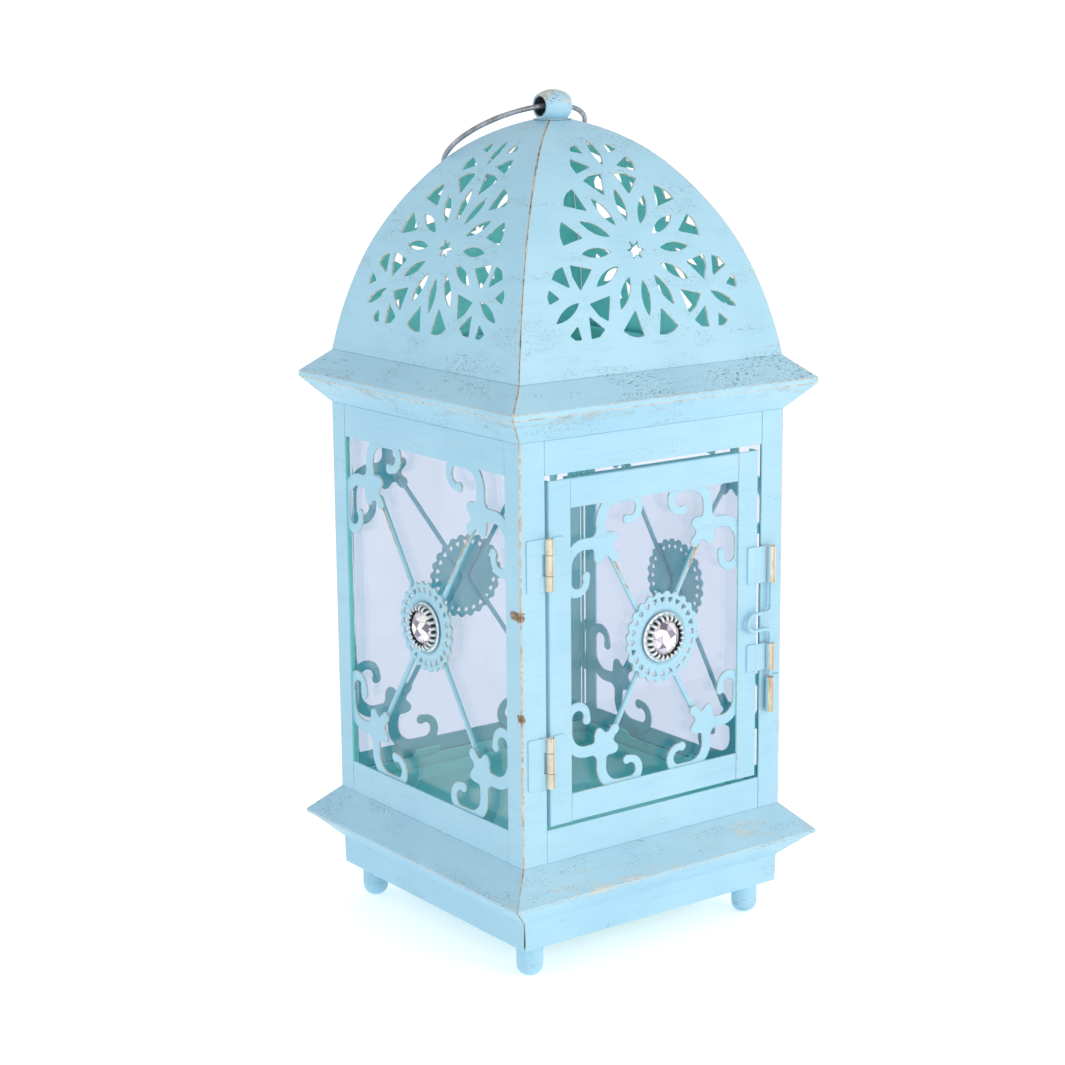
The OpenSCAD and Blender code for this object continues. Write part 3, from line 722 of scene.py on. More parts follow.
# the floor plate and glass clips are painted teal all over, as painted shade inside the lantern
M_INSIDE_SHADE = paint("paint_inside_shade", scratch=0.15, rim=0.5, all_inner=True)
M_RAW = bare("raw_knuckles", srgb(224, 218, 202), srgb(206, 196, 172), srgb(134, 116, 94), 0.2, 0.42, 0.45, 0.25)
M_RING = bare("ring_metal", srgb(176, 180, 190), srgb(138, 146, 152), srgb(88, 82, 84), 0.75, 0.42, 0.2, 0.75)
M_BEZEL = bare("bezel_silver", srgb(238, 242, 243), srgb(206, 216, 220), srgb(90, 104, 106), 0.7, 0.25, 0.05, 0.15)
# a near-black ring set behind the claws: painted shade in the gap between the claws and the stone
M_CLAW_SHADE = bare("claw_gap_shade", srgb(66, 80, 82), srgb(44, 56, 58), srgb(20, 26, 28), 0.5, 0.5, 0.2, 0.5)


def glass_material():
    n = Nodes("window_glass")
    smear = n.noise(n.mapped((60, 60, 25)), 1.0, 3.0, 0.6)
    n.set(Base_Color=srgb(221, 227, 238), Roughness=n.ramp(smear, 0.35, 0.75, 0.0, 0.02), Transmission_Weight=1.0, IOR=1.45)
    ripple = n.noise(n.mapped((45, 45, 30)), 1.0, 1.0, 0.4)
    n.bump(ripple, 0.05, 0.0004)
    t = n.t
    lp = t.nodes.new("ShaderNodeLightPath")
    tr = t.nodes.new("ShaderNodeBsdfTransparent")
    tr.inputs[0].default_value = (0.92, 0.94, 0.96, 1)
    mx = t.nodes.new("ShaderNodeMixShader")
    t.links.new(n.math("MAXIMUM", lp.outputs["Is Shadow Ray"], lp.outputs["Is Diffuse Ray"]), mx.inputs[0])
    t.links.new(n.bsdf.outputs[0], mx.inputs[1])
    t.links.new(tr.outputs[0], mx.inputs[2])
    t.links.new(mx.outputs[0], n.out.inputs[0])
    return n.m


def stone_material():
    n = Nodes("crystal")
    # each face gets a random brightness from dark to white: painted reflections and glints on the stone
    f = n.attr("facet")
    dust = n.noise(n.mapped((1400, 1400, 1400)), 1.0, 2.0, 0.6)
    c = n.mix(n.ramp(f, 0.14, 0.2), srgb(116, 106, 130), srgb(204, 198, 220))
    c = n.mix(n.ramp(f, 0.36, 0.42), c, srgb(238, 236, 246))
    c = n.mix(n.ramp(f, 0.6, 0.66), c, srgb(255, 255, 252))
    # darker rims of the faces: painted shade along the facet edges
    c = n.mix(n.attr("ridge"), c, srgb(150, 134, 160))
    c = n.mix(n.ramp(dust, 0.6, 0.75, 0.0, 0.35), c, srgb(120, 112, 132))
    n.set(Base_Color=c, Metallic=0.3, Roughness=n.ramp(dust, 0.4, 0.7, 0.04, 0.14), Coat_Weight=1.0, Coat_Roughness=0.02)
    return n.m


M_GLASS = glass_material()
M_STONE = stone_material()

# ---------------------------------------------------------------------- feet
feet = Shell()
for sx in (-1, 1):
    for sy in (-1, 1):
        r = 3.3
        prof = [(0, 0.0)] + [(4.6 * math.sin(a), 4.35 - 4.6 * math.cos(a) - 0.0) for a in np.linspace(0.12, 0.44, 4)]
        prof = [(0, 0.0), (0.9, 0.02), (1.7, 0.2), (2.4, 0.62), (2.9, 1.25), (3.17, 2.0), (3.28, 2.9), (3.3, 4.2), (3.3, 7.4), (3.3, 8.49), (2.6, 8.5), (0, 8.5)]
        lathe(feet, prof, lambda x, y, h, sx=sx, sy=sy: np.stack([x + sx * 34.5, y + sy * 34.5, h], 1), 40,
              wear=lambda V: np.clip(0.42 - np.abs(V[:, 2] - 1.2) * 0.25, 0, 1), scr=0.3)
feet.make("turned_feet", "lantern", M_MOULD, "blue_paint", "feet")

SIDES = ["front", "right", "back", "left"]


# ---------------------------------------------------------------------- base
def base_rub(V):
    """Rubbed tan patches on the front flare, near its two ends."""
    x, y, z = V[:, 0], V[:, 1], V[:, 2]
    on = ((z > 21) & (z < 29.7) & (y < -40)).astype(float)
    a = np.exp(-(((x + 26) / 13) ** 2) - ((z - 24.0) / 2.6) ** 2)
    b = np.exp(-(((x - 22) / 11) ** 2) - ((z - 26.4) / 2.2) ** 2)
    c = np.exp(-((z - 22.9) / 1.2) ** 2) * 0.55
    return on * np.clip(a + b * 0.9 + c, 0, 1)


for k, side in enumerate(SIDES):
    s = Shell()
    path = [(39.4, 29.6), (40.6, 29.6), (47.5, 22.75), (47.45, 21.9), (46.8, 21.75), (40.3, 15.6), (40.3, 8.5), (29, 8.5)]
    # paths run with the sheet on their left when seen as (d, -z), so flip z for the offset
    P = [(d, -z) for d, z in path]

    def skirt(k=k, s=s, P=P):
        PP, wr = fold_path(P, [0, 0.45, 0.3, 0.22, 0.2, 0.7, 0.5, 0], [0, 0.25, 0.85, 1.0, 0, 0, 0.45, 0])
        # extra rows so that rubs and dents can vary up the slopes
        Q, ww = [PP[0]], [wr[0]]
        for i in range(1, len(PP)):
            L = np.linalg.norm(PP[i] - PP[i - 1])
            m = max(1, int(L // 1.4))
            for j in range(1, m + 1):
                t = j / m
                Q.append(PP[i - 1] + (PP[i] - PP[i - 1]) * t)
                ww.append(wr[i - 1] + (wr[i] - wr[i - 1]) * t)
        Q, ww = np.array(Q), np.array(ww)
        us = [-1, -1, -0.99, -0.97] + list(np.linspace(-0.93, 0.93, 41)) + [0.97, 0.99, 1, 1]
        st = []
        for i, u in enumerate(us):
            edge, near = i in (0, len(us) - 1), i in (1, len(us) - 2)
            st.append(((u, 0.0 if edge else (0.14 if near else None)), 0.15 if edge else 0.0, 0.85 if edge or near else (0.42 if abs(u) > 0.98 else 0.0)))

        def put(d, nz, ud):
            u, dx = ud
            x = u * (d - G)
            if dx is not None:
                x = x - math.copysign(dx, u)
            z = -nz
            wob = np.array([noise.noise(Vector((float(a) / 15 + k * 5.1, float(b) / 8, k))) for a, b in zip(x, z)]) * 0.10 * (1 - abs(u) ** 8)
            f = np.clip((d - 40.6) / 4, 0.2, 1)
            low = ((z < 15.5) & (np.abs(u) > 0.999)).astype(float)
            return W(k, x - np.sign(u) * low * 0.30 * (15.5 - z) / 7, d + wob * f, z + wob * 0.4 * f * (z > 10))

        strip_solid(s, Q, SHEET, ww, st, put, extra=dict(
            scr=lambda V: np.where((V[:, 2] > 20), 0.30, 0.16) * np.ones(len(V)),
            rub=base_rub))

    skirt()
    s.make(f"flared_skirt_{side}", "lantern", M_MOULD, "blue_paint", f"base_skirt_{side}")

# ------------------------------------------------------------------- cornice
for k, side in enumerate(SIDES):
    s = Shell()
    P = [(38.3, -145.4), (40.3, -145.4), (46.6, -139.9), (46.6, -138.5), (40.6, -132.0), (38.6, -132.0)]

    def corn(k=k, s=s, P=P):
        PP, wr = fold_path(P, [0, 0.4, 0.35, 0.35, 0.5, 0], [0, 0.15, 0.85, 1.12, 0.1, 0], spread=0.55)
        Q, ww = [PP[0]], [wr[0]]
        for i in range(1, len(PP)):
            L = np.linalg.norm(PP[i] - PP[i - 1])
            m = max(1, int(L // 1.4))
            for j in range(1, m + 1):
                t = j / m
                Q.append(PP[i - 1] + (PP[i] - PP[i - 1]) * t)
                ww.append(wr[i - 1] + (wr[i] - wr[i - 1]) * t)
        Q, ww = np.array(Q), np.array(ww)
        us = [-1, -1, -0.99, -0.97] + list(np.linspace(-0.93, 0.93, 41)) + [0.97, 0.99, 1, 1]
        st = []
        for i, u in enumerate(us):
            edge, near = i in (0, len(us) - 1), i in (1, len(us) - 2)
            st.append(((u, 0.0 if edge else (0.16 if near else None)), 0.17 if edge else 0.0, 0.9 if edge or near else (0.5 if abs(u) > 0.98 else 0.0)))

        def put(d, nz, ud):
            u, dx = ud
            x = u * (d - G)
            if dx is not None:
                x = x - math.copysign(dx, u)
            z = -nz
            wob = np.array([noise.noise(Vector((float(a) / 16 + k * 3.7, float(b) / 8, k + 9))) for a, b in zip(x, z)]) * 0.10 * (1 - abs(u) ** 8)
            f = np.clip((d - 40.6) / 4, 0.0, 1)
            return W(k, x, d + wob * f, z + wob * 0.5 * f)

        def scr(V):
            z = V[:, 2]
            x = V @ W(k, 1, 0, 0)
            up = (0.15 + 0.5 * np.clip((x + 18) / 8, 0, 1)) if k == 0 else 0.34
            return np.where(z > 139.9, up, np.where(z > 138, 0.15, 0.35))

        def rub(V):
            z = V[:, 2]
            dd = np.maximum(np.abs(V[:, 0]), np.abs(V[:, 1]))
            return np.clip(np.exp(-((z - 137.6) / 0.8) ** 2) * 1.5 + np.exp(-((z - 139.9) / 0.8) ** 2) * 0.35, 0, 1) * (dd > 41.5)

        strip_solid(s, Q, SHEET, ww, st, put, extra=dict(scr=scr, rub=rub))

    corn()
    s.make(f"cornice_moulding_{side}", "lantern", M_CORNICE, "blue_paint", f"cornice_{side}")

# --------------------------------------------------------------------- posts
def post(name, sx, sy, leg_x, leg_y, node, seed):
    s = Shell()
    # drawn for the corner at (+, +), outer line from the x leg round the corner to the y leg
    P = [(HB - leg_x + (SEAM / 2 if leg_x > 6.5 else SEAM / 2), HB), (HB, HB), (HB, HB - leg_y + SEAM / 2)]
    PP, wr = fold_path(P, [0, 0.55, 0], [0.35, 0.95, 0.35], steps=6, spread=1.1)
    # the sheet lies on the inside: right of this line, so draw it the other way round
    PP, wr = PP[::-1], wr[::-1]
    st = [(Z_BASE, 0.08, 0.3), (Z_BASE + 0.1, 0.0, 0.2)] + [(z, 0.0, 0.0) for z in np.linspace(Z_BASE + 1.5, Z_WALL - 1.5, 46)] + [(Z_WALL - 0.1, 0.0, 0.2), (Z_WALL, 0.08, 0.3)]

    def put(a, b, z):
        w = noise.noise(Vector((z / 21, seed * 4.7, 1.3))) * 0.05
        return np.stack([sx * (a + w), sy * (b + w * 0.6), np.full(len(a), z)], 1)

    def rub(V):
        c = np.maximum(0, 1 - (np.abs(HB - np.abs(V[:, 0])) + np.abs(HB - np.abs(V[:, 1]))) / 1.3)
        return c * 0.8

    strip_solid(s, PP, SHEET, wr, st, put, extra=dict(scr=lambda V: 0.12 * np.ones(len(V)), rub=rub))
    s.make(name, "lantern", M_CORNER if sx < 0 and sy < 0 else M_BODY, "blue_paint", node)


post("folded_post_front_left", -1, -1, HB - OPEN_HW, 6.0, "corner_post_front_left", 1)
post("folded_post_front_right", 1, -1, HB - OPEN_HW, 6.0, "corner_post_front_right", 2)
post("folded_post_back_left", -1, 1, 6.0, 6.0, "corner_post_back_left", 3)
post("folded_post_back_right", 1, 1, 6.0, 6.0, "corner_post_back_right", 4)


# --------------------------------------------------------------------- rails
def panel(name, k, loops, f_out, t, b, grid, material, node, body="lantern", seed=0, wear=0.7, scr=0.1, amp=0.03, relief=None):
    s = Shell()

    def put(x, y, h):
        w = wobble(x, y, amp, 23.0, seed) if amp else 0.0
        return W(k, x, f_out - t + h + w, y)

    sheet(s, loops, t, b, grid, put, wear=wear, extra=dict(scr=lambda x, y: np.full(len(x), scr)), relief=relief)
    return s.make(name, body, material, "blue_paint", node)


for k, side in enumerate(SIDES):
    hw = OPEN_HW if k == 0 else WIN_HW
    e = hw - SEAM / 2
    panel(f"bottom_rail_plate_{side}", k, [rect(-e, e, Z_BASE, WIN_LO)], HB, SHEET, 0.12, 3.0, M_BODY, f"bottom_rail_{side}", seed=k + 1, scr=0.15)
    panel(f"top_rail_plate_{side}", k, [rect(-e, e, WIN_HI, Z_WALL)], HB, SHEET, 0.12, 3.0, M_BODY, f"top_rail_{side}", seed=k + 11, scr=0.15)

# --------------------------------------------------------------------- dome
ARCS = [(129.1, 9.4), (75.0, 23.4), (35.7, 35.2)]
LEAN = [9.0]
for R, sw in ARCS:
    LEAN.append(LEAN[-1] + sw)
CEN = [(40.3 - 129.1 * math.cos(math.radians(9.0)), Z_DOME - 129.1 * math.sin(math.radians(9.0)))]
for i in (1, 2):
    d = ARCS[i - 1][0] - ARCS[i][0]
    CEN.append((CEN[-1][0] + d * math.cos(math.radians(LEAN[i])), CEN[-1][1] + d * math.sin(math.radians(LEAN[i]))))
LEN = [R * sw * math.pi / 180 for R, sw in ARCS]


def place(s):
    s = np.asarray(s, float)
    i = (s > LEN[0]).astype(int) + (s > LEN[0] + LEN[1]).astype(int)
    start = np.array([0, LEN[0], LEN[0] + LEN[1]])[i]
    R = np.array([a[0] for a in ARCS])[i]
    a = np.radians(np.array(LEAN)[i]) + (s - start) / R
    c = np.array(CEN)[i]
    return c[..., 0] + R * np.cos(a), c[..., 1] + R * np.sin(a), a


S_TOP = sum(LEN)
lo_s, hi_s = 40.0, S_TOP
for _ in range(50):
    mid_s = (lo_s + hi_s) / 2
    if place(mid_s)[0] > 3.6:
        lo_s = mid_s
    else:
        hi_s = mid_s
S_TOP = lo_s
PAT = 29.0


def polar(r, a):
    return np.array([r * math.cos(math.radians(a)), r * math.sin(math.radians(a))])


def lens(r, a, l, w):
    m = polar(r, a)
    R = (l * l / 4 + w * w / 4) / w
    h = math.asin(l / 2 / R)
    pts = []
    for s in (1, -1):
        for t in np.linspace(-h, h, 11)[:-1]:
            x, y = R * math.sin(t), R * math.cos(t) - (R - w / 2)
            pts.append((x * s, y * s))
    ca, sa = math.cos(math.radians(a)), math.sin(math.radians(a))
    return np.array([(m[0] + x * ca - y * sa, m[1] + x * sa + y * ca) for x, y in pts])


def flake(a, u, v):
    return polar(1, a) * v + polar(1, a - 90) * u


def flake_wedge(a, s, t, ri, ro, h):
    sd, cd = lambda q: math.sin(math.radians(q)), lambda q: math.cos(math.radians(q))
    return [flake(a, s * ri * sd(t), 22.4 + ri * cd(t)), flake(a, s * ro * sd(t - h), 22.4 + ro * cd(t - h)),
            flake(a, s * (ro + 0.4) * sd(t), 22.4 + (ro + 0.4) * cd(t)), flake(a, s * ro * sd(t + h), 22.4 + ro * cd(t + h))]


def dome_holes():
    out = [rounded([polar(2.7 if i % 2 == 0 else 1.15, 30 * i) for i in range(12)], 0.12, 2)]
    out += [lens(11.8, 30 * i, 8.7, 2.4) for i in range(12)]
    for a in (90, 210, 330):
        for c in (a + 45, a + 75):
            out.append(rounded([polar(15, c), polar(20.9, c - 8.6), polar(21.4, c - 2.9), polar(21.4, c + 2.9), polar(20.9, c + 8.6)], 0.3, 3))
        out.append(lens(27.4, a, 8.6, 2.2))
        for s in (-1, 1):
            out.append(rounded([flake(a, s * 3.8, 14.4), flake(a, s * 8.1, 18.9), flake(a, s * 5.6, 20.3), flake(a, s * 1.9, 20.7)], 0.3, 3))
            out.append(rounded(flake_wedge(a, s, 84, 4, 9.1, 15), 0.3, 3))
            out.append(rounded(flake_wedge(a, s, 40, 6, 9.1, 11), 0.3, 3))
    res = []
    for p in out:
        p = oriented(resample(p, 1.0), False).copy()
        p[:, 1] += PAT
        res.append(p)
    return res


side_s = np.linspace(0, S_TOP, 60)
side_r = place(side_s)[0] - G
outline = np.array([(-side_r[0], 0.0), (side_r[0], 0.0)] + [(r, s) for r, s in zip(side_r[1:], side_s[1:])] + [(-r, s) for r, s in zip(side_r[:0:-1], side_s[:0:-1])])
outline = resample(outline, 1.4)
HOLES = dome_holes()
for k, side in enumerate(SIDES):
    s = Shell()

    def put(x, sl, h, k=k):
        r, z, a = place(sl)
        w = wobble(x, sl, 0.09, 15.0, k + 20) * np.clip((r - np.abs(x)) / 6, 0, 1)
        o = h - SHEET + w
        d = r + np.cos(a) * o
        zz = z + np.sin(a) * o
        f = np.where(r > 1, (d - w * np.cos(a) - G) / (r - G), 1.0)
        return W(k, x * f, d, zz)

    def dome_scr(x, sl):
        return np.clip(0.55 - sl * 0.045, 0.22, 0.55)

    def hip(x, sl, k=k):
        r = place(sl)[0]
        d = r - np.abs(x)
        n = np.array([noise.noise(Vector((float(q) / 5.0, 2.0 + k, 4.0))) for q in sl])
        return (d < 0.3) * (1.08 + 0.2 * n)

    def hip_rub(x, sl, k=k):
        r = place(sl)[0]
        d = r - np.abs(x)
        return (d < 0.7) * 0.35

    sheet(s, [outline] + HOLES, SHEET, 0.16, 1.7, put, wear=0.92, extra=dict(scr=dome_scr, wear=hip, rub=hip_rub), guard=0.22)
    s.make(f"pierced_dome_{side}", "lantern", M_DOME, "blue_paint", f"dome_panel_{side}")


# ------------------------------------------------------------ scrolls, grille
def scroll_loops():
    c = [(10.6, 10.4), (9.8, 10.1), (9, 9.9), (8, 9.65), (7, 9.5)]
    c += [(4.6 + 5.2 * math.cos(math.radians(a)), 14.6 + 5.2 * math.sin(math.radians(a))) for a in range(270, 179, -6)]
    c += [(2.25 + 2.85 * math.cos(math.radians(a)), 18.2 + 2.85 * math.sin(math.radians(a))) for a in range(180, -1, -6)]
    c += [(5.08, 17.8), (5.05, 17.4)]
    c = np.array(c)
    n = len(c) - 1
    d = np.gradient(c, axis=0)
    d /= np.linalg.norm(d, axis=1, keepdims=True)
    nl = np.stack([-d[:, 1], d[:, 0]], 1)
    h = (1.5 - 0.6 * np.arange(n + 1) / n)[:, None]
    arm = np.vstack([c + nl * h, (c - nl * h)[::-1]])
    th = np.radians(np.arange(0, 360, 15))
    bulb = np.stack([5.05 + 1.2 * np.cos(th), 17.3 + 1.2 * np.sin(th)], 1)
    side = [(7.4, 7.4), (6.9, 9.6), (7.6, 11.6), (7.5, 13.4), (8.2, 14.5), (9.4, 14.4), (10.3, 13.2), (11.2, 12.9), (12.1, 13.4), (12.8, 14.6), (13.9, 14.8)]
    bud = np.array(side + [(b, a) for a, b in side[:0:-1]])
    # swell the outline a little first, as rounding pulls it in
    bud = inset(oriented(bud), -0.16)
    bud = chaikin(bud, 2)
    sw = lambda p: p[:, ::-1]
    return union([oriented(arm), oriented(bulb), oriented(sw(arm)), oriented(sw(bulb)), oriented(bud)])


SCROLL = scroll_loops()


def smooth_loop(p):
    q = resample(p, 0.45)
    for _ in range(2):
        q = 0.5 * q + 0.25 * (np.roll(q, 1, 0) + np.roll(q, -1, 0))
    return q


SCROLL = [smooth_loop(p) for p in SCROLL]


def scrolls(name, k, hw, hh, mid, scale, node, body, material):
    s = Shell()
    for sx in (-1, 1):
        for sz in (-1, 1):
            loops = []
            for p in SCROLL:
                q = np.stack([sx * (-hw + scale * p[:, 0]), mid + sz * (-hh + scale * p[:, 1])], 1)
                loops.append(q if sx * sz > 0 else q[::-1])
            tilt = 0.06 * sx * sz
            sheet(s, loops, SHEET, 0.17, 1.3, lambda x, y, h: W(k, x, F2 + h, y), wear=0.95,
                  extra=dict(scr=lambda x, y: np.full(len(x), 0.1)))
    return s.make(name, body, material, "blue_paint", node)


for k, side in ((1, "right"), (2, "back"), (3, "left")):
    scrolls(f"cut_scrolls_{side}", k, WIN_HW, WIN_HH, WIN_MID, 1.12, f"scrolls_{side}", "lantern", M_GRILLE)
scrolls("cut_scrolls_door", 0, DWIN_HW, DWIN_HH, DOOR_MID, 1.0, "door_scrolls", "door", M_GRILLE)


def wires(name, k, x, z, mid, node, body, dx=0.0):
    s = Shell()
    r = 0.625
    xc = 1.2 * r + 0.06
    for side in (-1, 1):
        # leg, a short bend behind the medallion, and the other leg
        a = np.array([x, z])
        m = np.array([xc, 0.0])
        pts = [a + (m - a) * t for t in np.linspace(0, 0.955, 22)]
        b = np.array([x, -z])
        top, bot = m + (a - m) * 0.045, m + (b - m) * 0.045
        pts += [(1 - t) ** 2 * top + 2 * t * (1 - t) * m + t * t * bot for t in np.linspace(0.12, 0.88, 7)]
        pts += [m + (b - m) * t for t in np.linspace(0.045, 1, 22)]
        pts = np.array(pts)
        bow = np.sin(np.linspace(0, 4.4, len(pts)) + side * 1.3 + k) * 0.07
        P3 = W(k, dx + side * (pts[:, 0] + bow), np.full(len(pts), FW), mid + pts[:, 1])

        # the outward side of each wire turns gold, more so towards the top of the window
        def out(V, k=k):
            dist = V @ W(k, 0, 1, 0)
            up = np.clip((V[:, 2] - mid) / 20, 0, 1)
            return np.clip((dist - FW) / r, 0, 1) * (0.46 + 0.44 * up)

        # the back half of each wire, towards the window, carries the inner value for painted shade
        def inn(V, k=k):
            dist = V @ W(k, 0, 1, 0)
            return np.clip((FW - dist) / r, 0, 1)

        tube(s, P3, r, 14, wear=out, inner=inn, scr=0.1)
    return s.make(name, body, M_WIRE, "wire_metal", node)


for k, side in ((1, "right"), (2, "back"), (3, "left")):
    wires(f"bent_wires_{side}", k, WIN_HW - 13.6, WIN_HH - 13.6, WIN_MID, f"cross_wires_{side}", "lantern")
wires("bent_wires_door", 0, DWIN_HW - 11.9, DWIN_HH - 11.6, DOOR_MID - 1.2, "door_cross_wires", "door", 0.6)

# ---------------------------------------------------------------- medallions
th = np.radians(np.arange(0, 360, 1.25))
rad = np.full(len(th), 10.65)
for i in range(24):
    a = math.radians(15 * i + 7.5)
    dl = (th - a + math.pi) % (2 * math.pi) - math.pi
    q = 1.05 ** 2 - (10.35 * np.sin(dl)) ** 2
    ok = (q > 0) & (np.abs(dl) < 0.3)
    rad = np.where(ok, np.maximum(rad, 10.35 * np.cos(dl) + np.sqrt(np.maximum(q, 0))), rad)
MED_RIM = np.stack([rad * np.cos(th), rad * np.sin(th)], 1)
HEART = np.array([(0, -0.78), (0.3, -0.42), (0.58, -0.05), (0.7, 0.26), (0.62, 0.52), (0.38, 0.64), (0.14, 0.56), (0, 0.40), (-0.14, 0.56), (-0.38, 0.64), (-0.62, 0.52), (-0.7, 0.26), (-0.58, -0.05), (-0.3, -0.42)])


def med_relief(x, y):
    r = np.hypot(x, y)
    a = np.arctan2(y, x)
    sm = lambda lo, hi: np.clip((r - lo) / (hi - lo), 0, 1) ** 2 * (3 - 2 * np.clip((r - lo) / (hi - lo), 0, 1))
    dish = -0.38 * (1 - sm(6.35, 6.75))
    bead = 0.26 * np.exp(-((r - 7.15) / 0.26) ** 2)
    ribs = 0.13 * np.cos(24 * (a - math.radians(7.5))) * sm(7.6, 8.3) * (1 - sm(10.2, 10.8))
    edge = 0.16 * np.exp(-((r - 10.6) / 0.5) ** 2) * (0.5 + 0.5 * np.cos(24 * (a - math.radians(7.5))))
    return dish + bead + ribs + edge


def medallion(name, k, mid, node, body, dx=0.0):
    s = Shell()
    loops = [MED_RIM.copy()]
    for i in range(24):
        a = math.radians(15 * i)
        c, sn = math.cos(a), math.sin(a)
        h = np.stack([HEART[:, 0] * c - (HEART[:, 1] + 9.25) * sn, HEART[:, 0] * sn + (HEART[:, 1] + 9.25) * c], 1)
        loops.append(oriented(h, False))
    sheet(s, loops, SHEET, 0.1, 0.42, lambda x, y, h: W(k, x + dx, F2 + h, mid + y), wear=0.9, relief=med_relief,
          extra=dict(scr=lambda x, y: np.full(len(x), 0.1), wear=lambda x, y: np.clip(0.5 * np.exp(-((np.hypot(x, y) - 7.15) / 0.22) ** 2), 0, 1)))
    return s.make(name, body, M_GRILLE, "blue_paint", node)


for k, side in ((1, "right"), (2, "back"), (3, "left")):
    medallion(f"stamped_medallion_{side}", k, WIN_MID, f"medallion_{side}", "lantern")
medallion("stamped_medallion_door", 0, DOOR_MID + GEM_Z, "door_medallion", "door", GEM_X)


# --------------------------------------------------------- claw cups and stones
def cup(shell, gap, k, mid, dx=0.0):
    put = lambda x, y, h: W(k, x + dx, F1 + h, mid + y)
    lathe(shell, [(0, -0.02), (6.0, -0.02), (6.16, 0.1), (6.18, 0.3), (6.0, 0.48), (5.6, 0.56), (5.05, 0.6), (4.7, 0.62), (4.6, 0.3), (0, 0.3)], put, 64)
    # the dark ring between the claws and the stone is painted shade
    lathe(gap, [(4.72, 0.5), (5.1, 0.52), (5.16, 1.1), (5.0, 1.5), (4.78, 1.62), (4.62, 1.5), (4.6, 0.6)], put, 48, closed=True)
    for i in range(22):
        a = 2 * math.pi * (i + 0.5) / 22
        c, s = math.cos(a), math.sin(a)
        pr = [(5.5, 0.42), (5.56, 0.8), (5.5, 1.2), (5.3, 1.55), (5.02, 1.78), (4.72, 1.87), (4.46, 1.8), (4.3, 1.66)]
        rr = [0.40, 0.42, 0.43, 0.42, 0.38, 0.33, 0.27, 0.18]
        P = np.array([put(np.array([r * c]), np.array([r * s]), np.array([h]))[0] for r, h in pr])
        tube(shell, P, rr, 8)


def gem(shell, k, mid, seed, dx=0.0):
    g = np.random.default_rng(seed)
    put = lambda x, y, h: W(k, x + dx, F1 + h, mid + y)
    P = {}
    turn = math.radians(11.0 + seed * 9)
    A = [(4.5 * math.cos(turn + math.pi / 8 * i), 4.5 * math.sin(turn + math.pi / 8 * i), 0.95) for i in range(16)]
    B = [(3.5 * math.cos(turn + math.pi / 4 * (i + 0.5)), 3.5 * math.sin(turn + math.pi / 4 * (i + 0.5)), 1.85) for i in range(8)]
    C = [(2.25 * math.cos(turn + math.pi / 4 * i), 2.25 * math.sin(turn + math.pi / 4 * i), 2.62) for i in range(8)]
    O = (0.25, 0.1, 2.8)
    D = [(4.5 * math.cos(turn + math.pi / 8 * i), 4.5 * math.sin(turn + math.pi / 8 * i), 0.32) for i in range(16)]
    F = []
    for i in range(8):
        j = (i + 1) % 8
        F.append([C[i], B[i], C[j]])                              # star
        F.append([C[i], B[i - 1], A[2 * i], B[i]])                # kite
        F.append([A[2 * i], A[2 * i + 1], B[i]])                  # upper girdle
        F.append([A[2 * i + 1], A[(2 * i + 2) % 16], B[i]])
    for i in range(16):
        F.append([D[i], D[(i + 1) % 16], A[(i + 1) % 16], A[i]])  # girdle
    # the table is cut in a few broad, slightly tipped faces
    for i in range(0, 8, 2):
        F.append([O, C[i], C[i + 1], C[(i + 2) % 8]])
    F.append(D[::-1])
    for f in F:
        q = np.array(f, float)
        v = float(g.random())
        m = q.mean(0)
        # a narrow ring round each face is painted darker, as shade along the facet edges
        inner = m + (q - m) * 0.84
        n = len(q)
        V = np.vstack([q, inner])
        W3 = put(V[:, 0], V[:, 1], V[:, 2])
        faces = [tuple(range(n, 2 * n))] + [(i, (i + 1) % n, n + (i + 1) % n, n + i) for i in range(n)]
        shell.add(W3, faces, facet=v, ridge=np.concatenate([np.full(n, 0.9), np.full(n, 0.0)]))


cups, claw_shades, gems = Shell(), Shell(), Shell()
for k in (1, 2, 3):
    cup(cups, claw_shades, k, WIN_MID)
    gem(gems, k, WIN_MID, k + 2)
cups.make("claw_cups_side", "lantern", M_BEZEL, "bezel_metal", "gem_bezels")
claw_shades.make("claw_cup_shade_ring_side", "lantern", M_CLAW_SHADE, "bezel_metal")
gems.make("cut_stones_side", "lantern", M_STONE, "crystal", "gem_stones", flat=True)
cups, claw_shades, gems = Shell(), Shell(), Shell()
cup(cups, claw_shades, 0, DOOR_MID + GEM_Z, GEM_X)
gem(gems, 0, DOOR_MID + GEM_Z, 1, GEM_X)
cups.make("claw_cup_door", "door", M_BEZEL, "bezel_metal", "door_gem_bezel")
claw_shades.make("claw_cup_shade_ring_door", "door", M_CLAW_SHADE, "bezel_metal")
gems.make("cut_stone_door", "door", M_STONE, "crystal", "door_gem_stone", flat=True)

# ------------------------------------------------------------------------ door
FOLD = 3.0


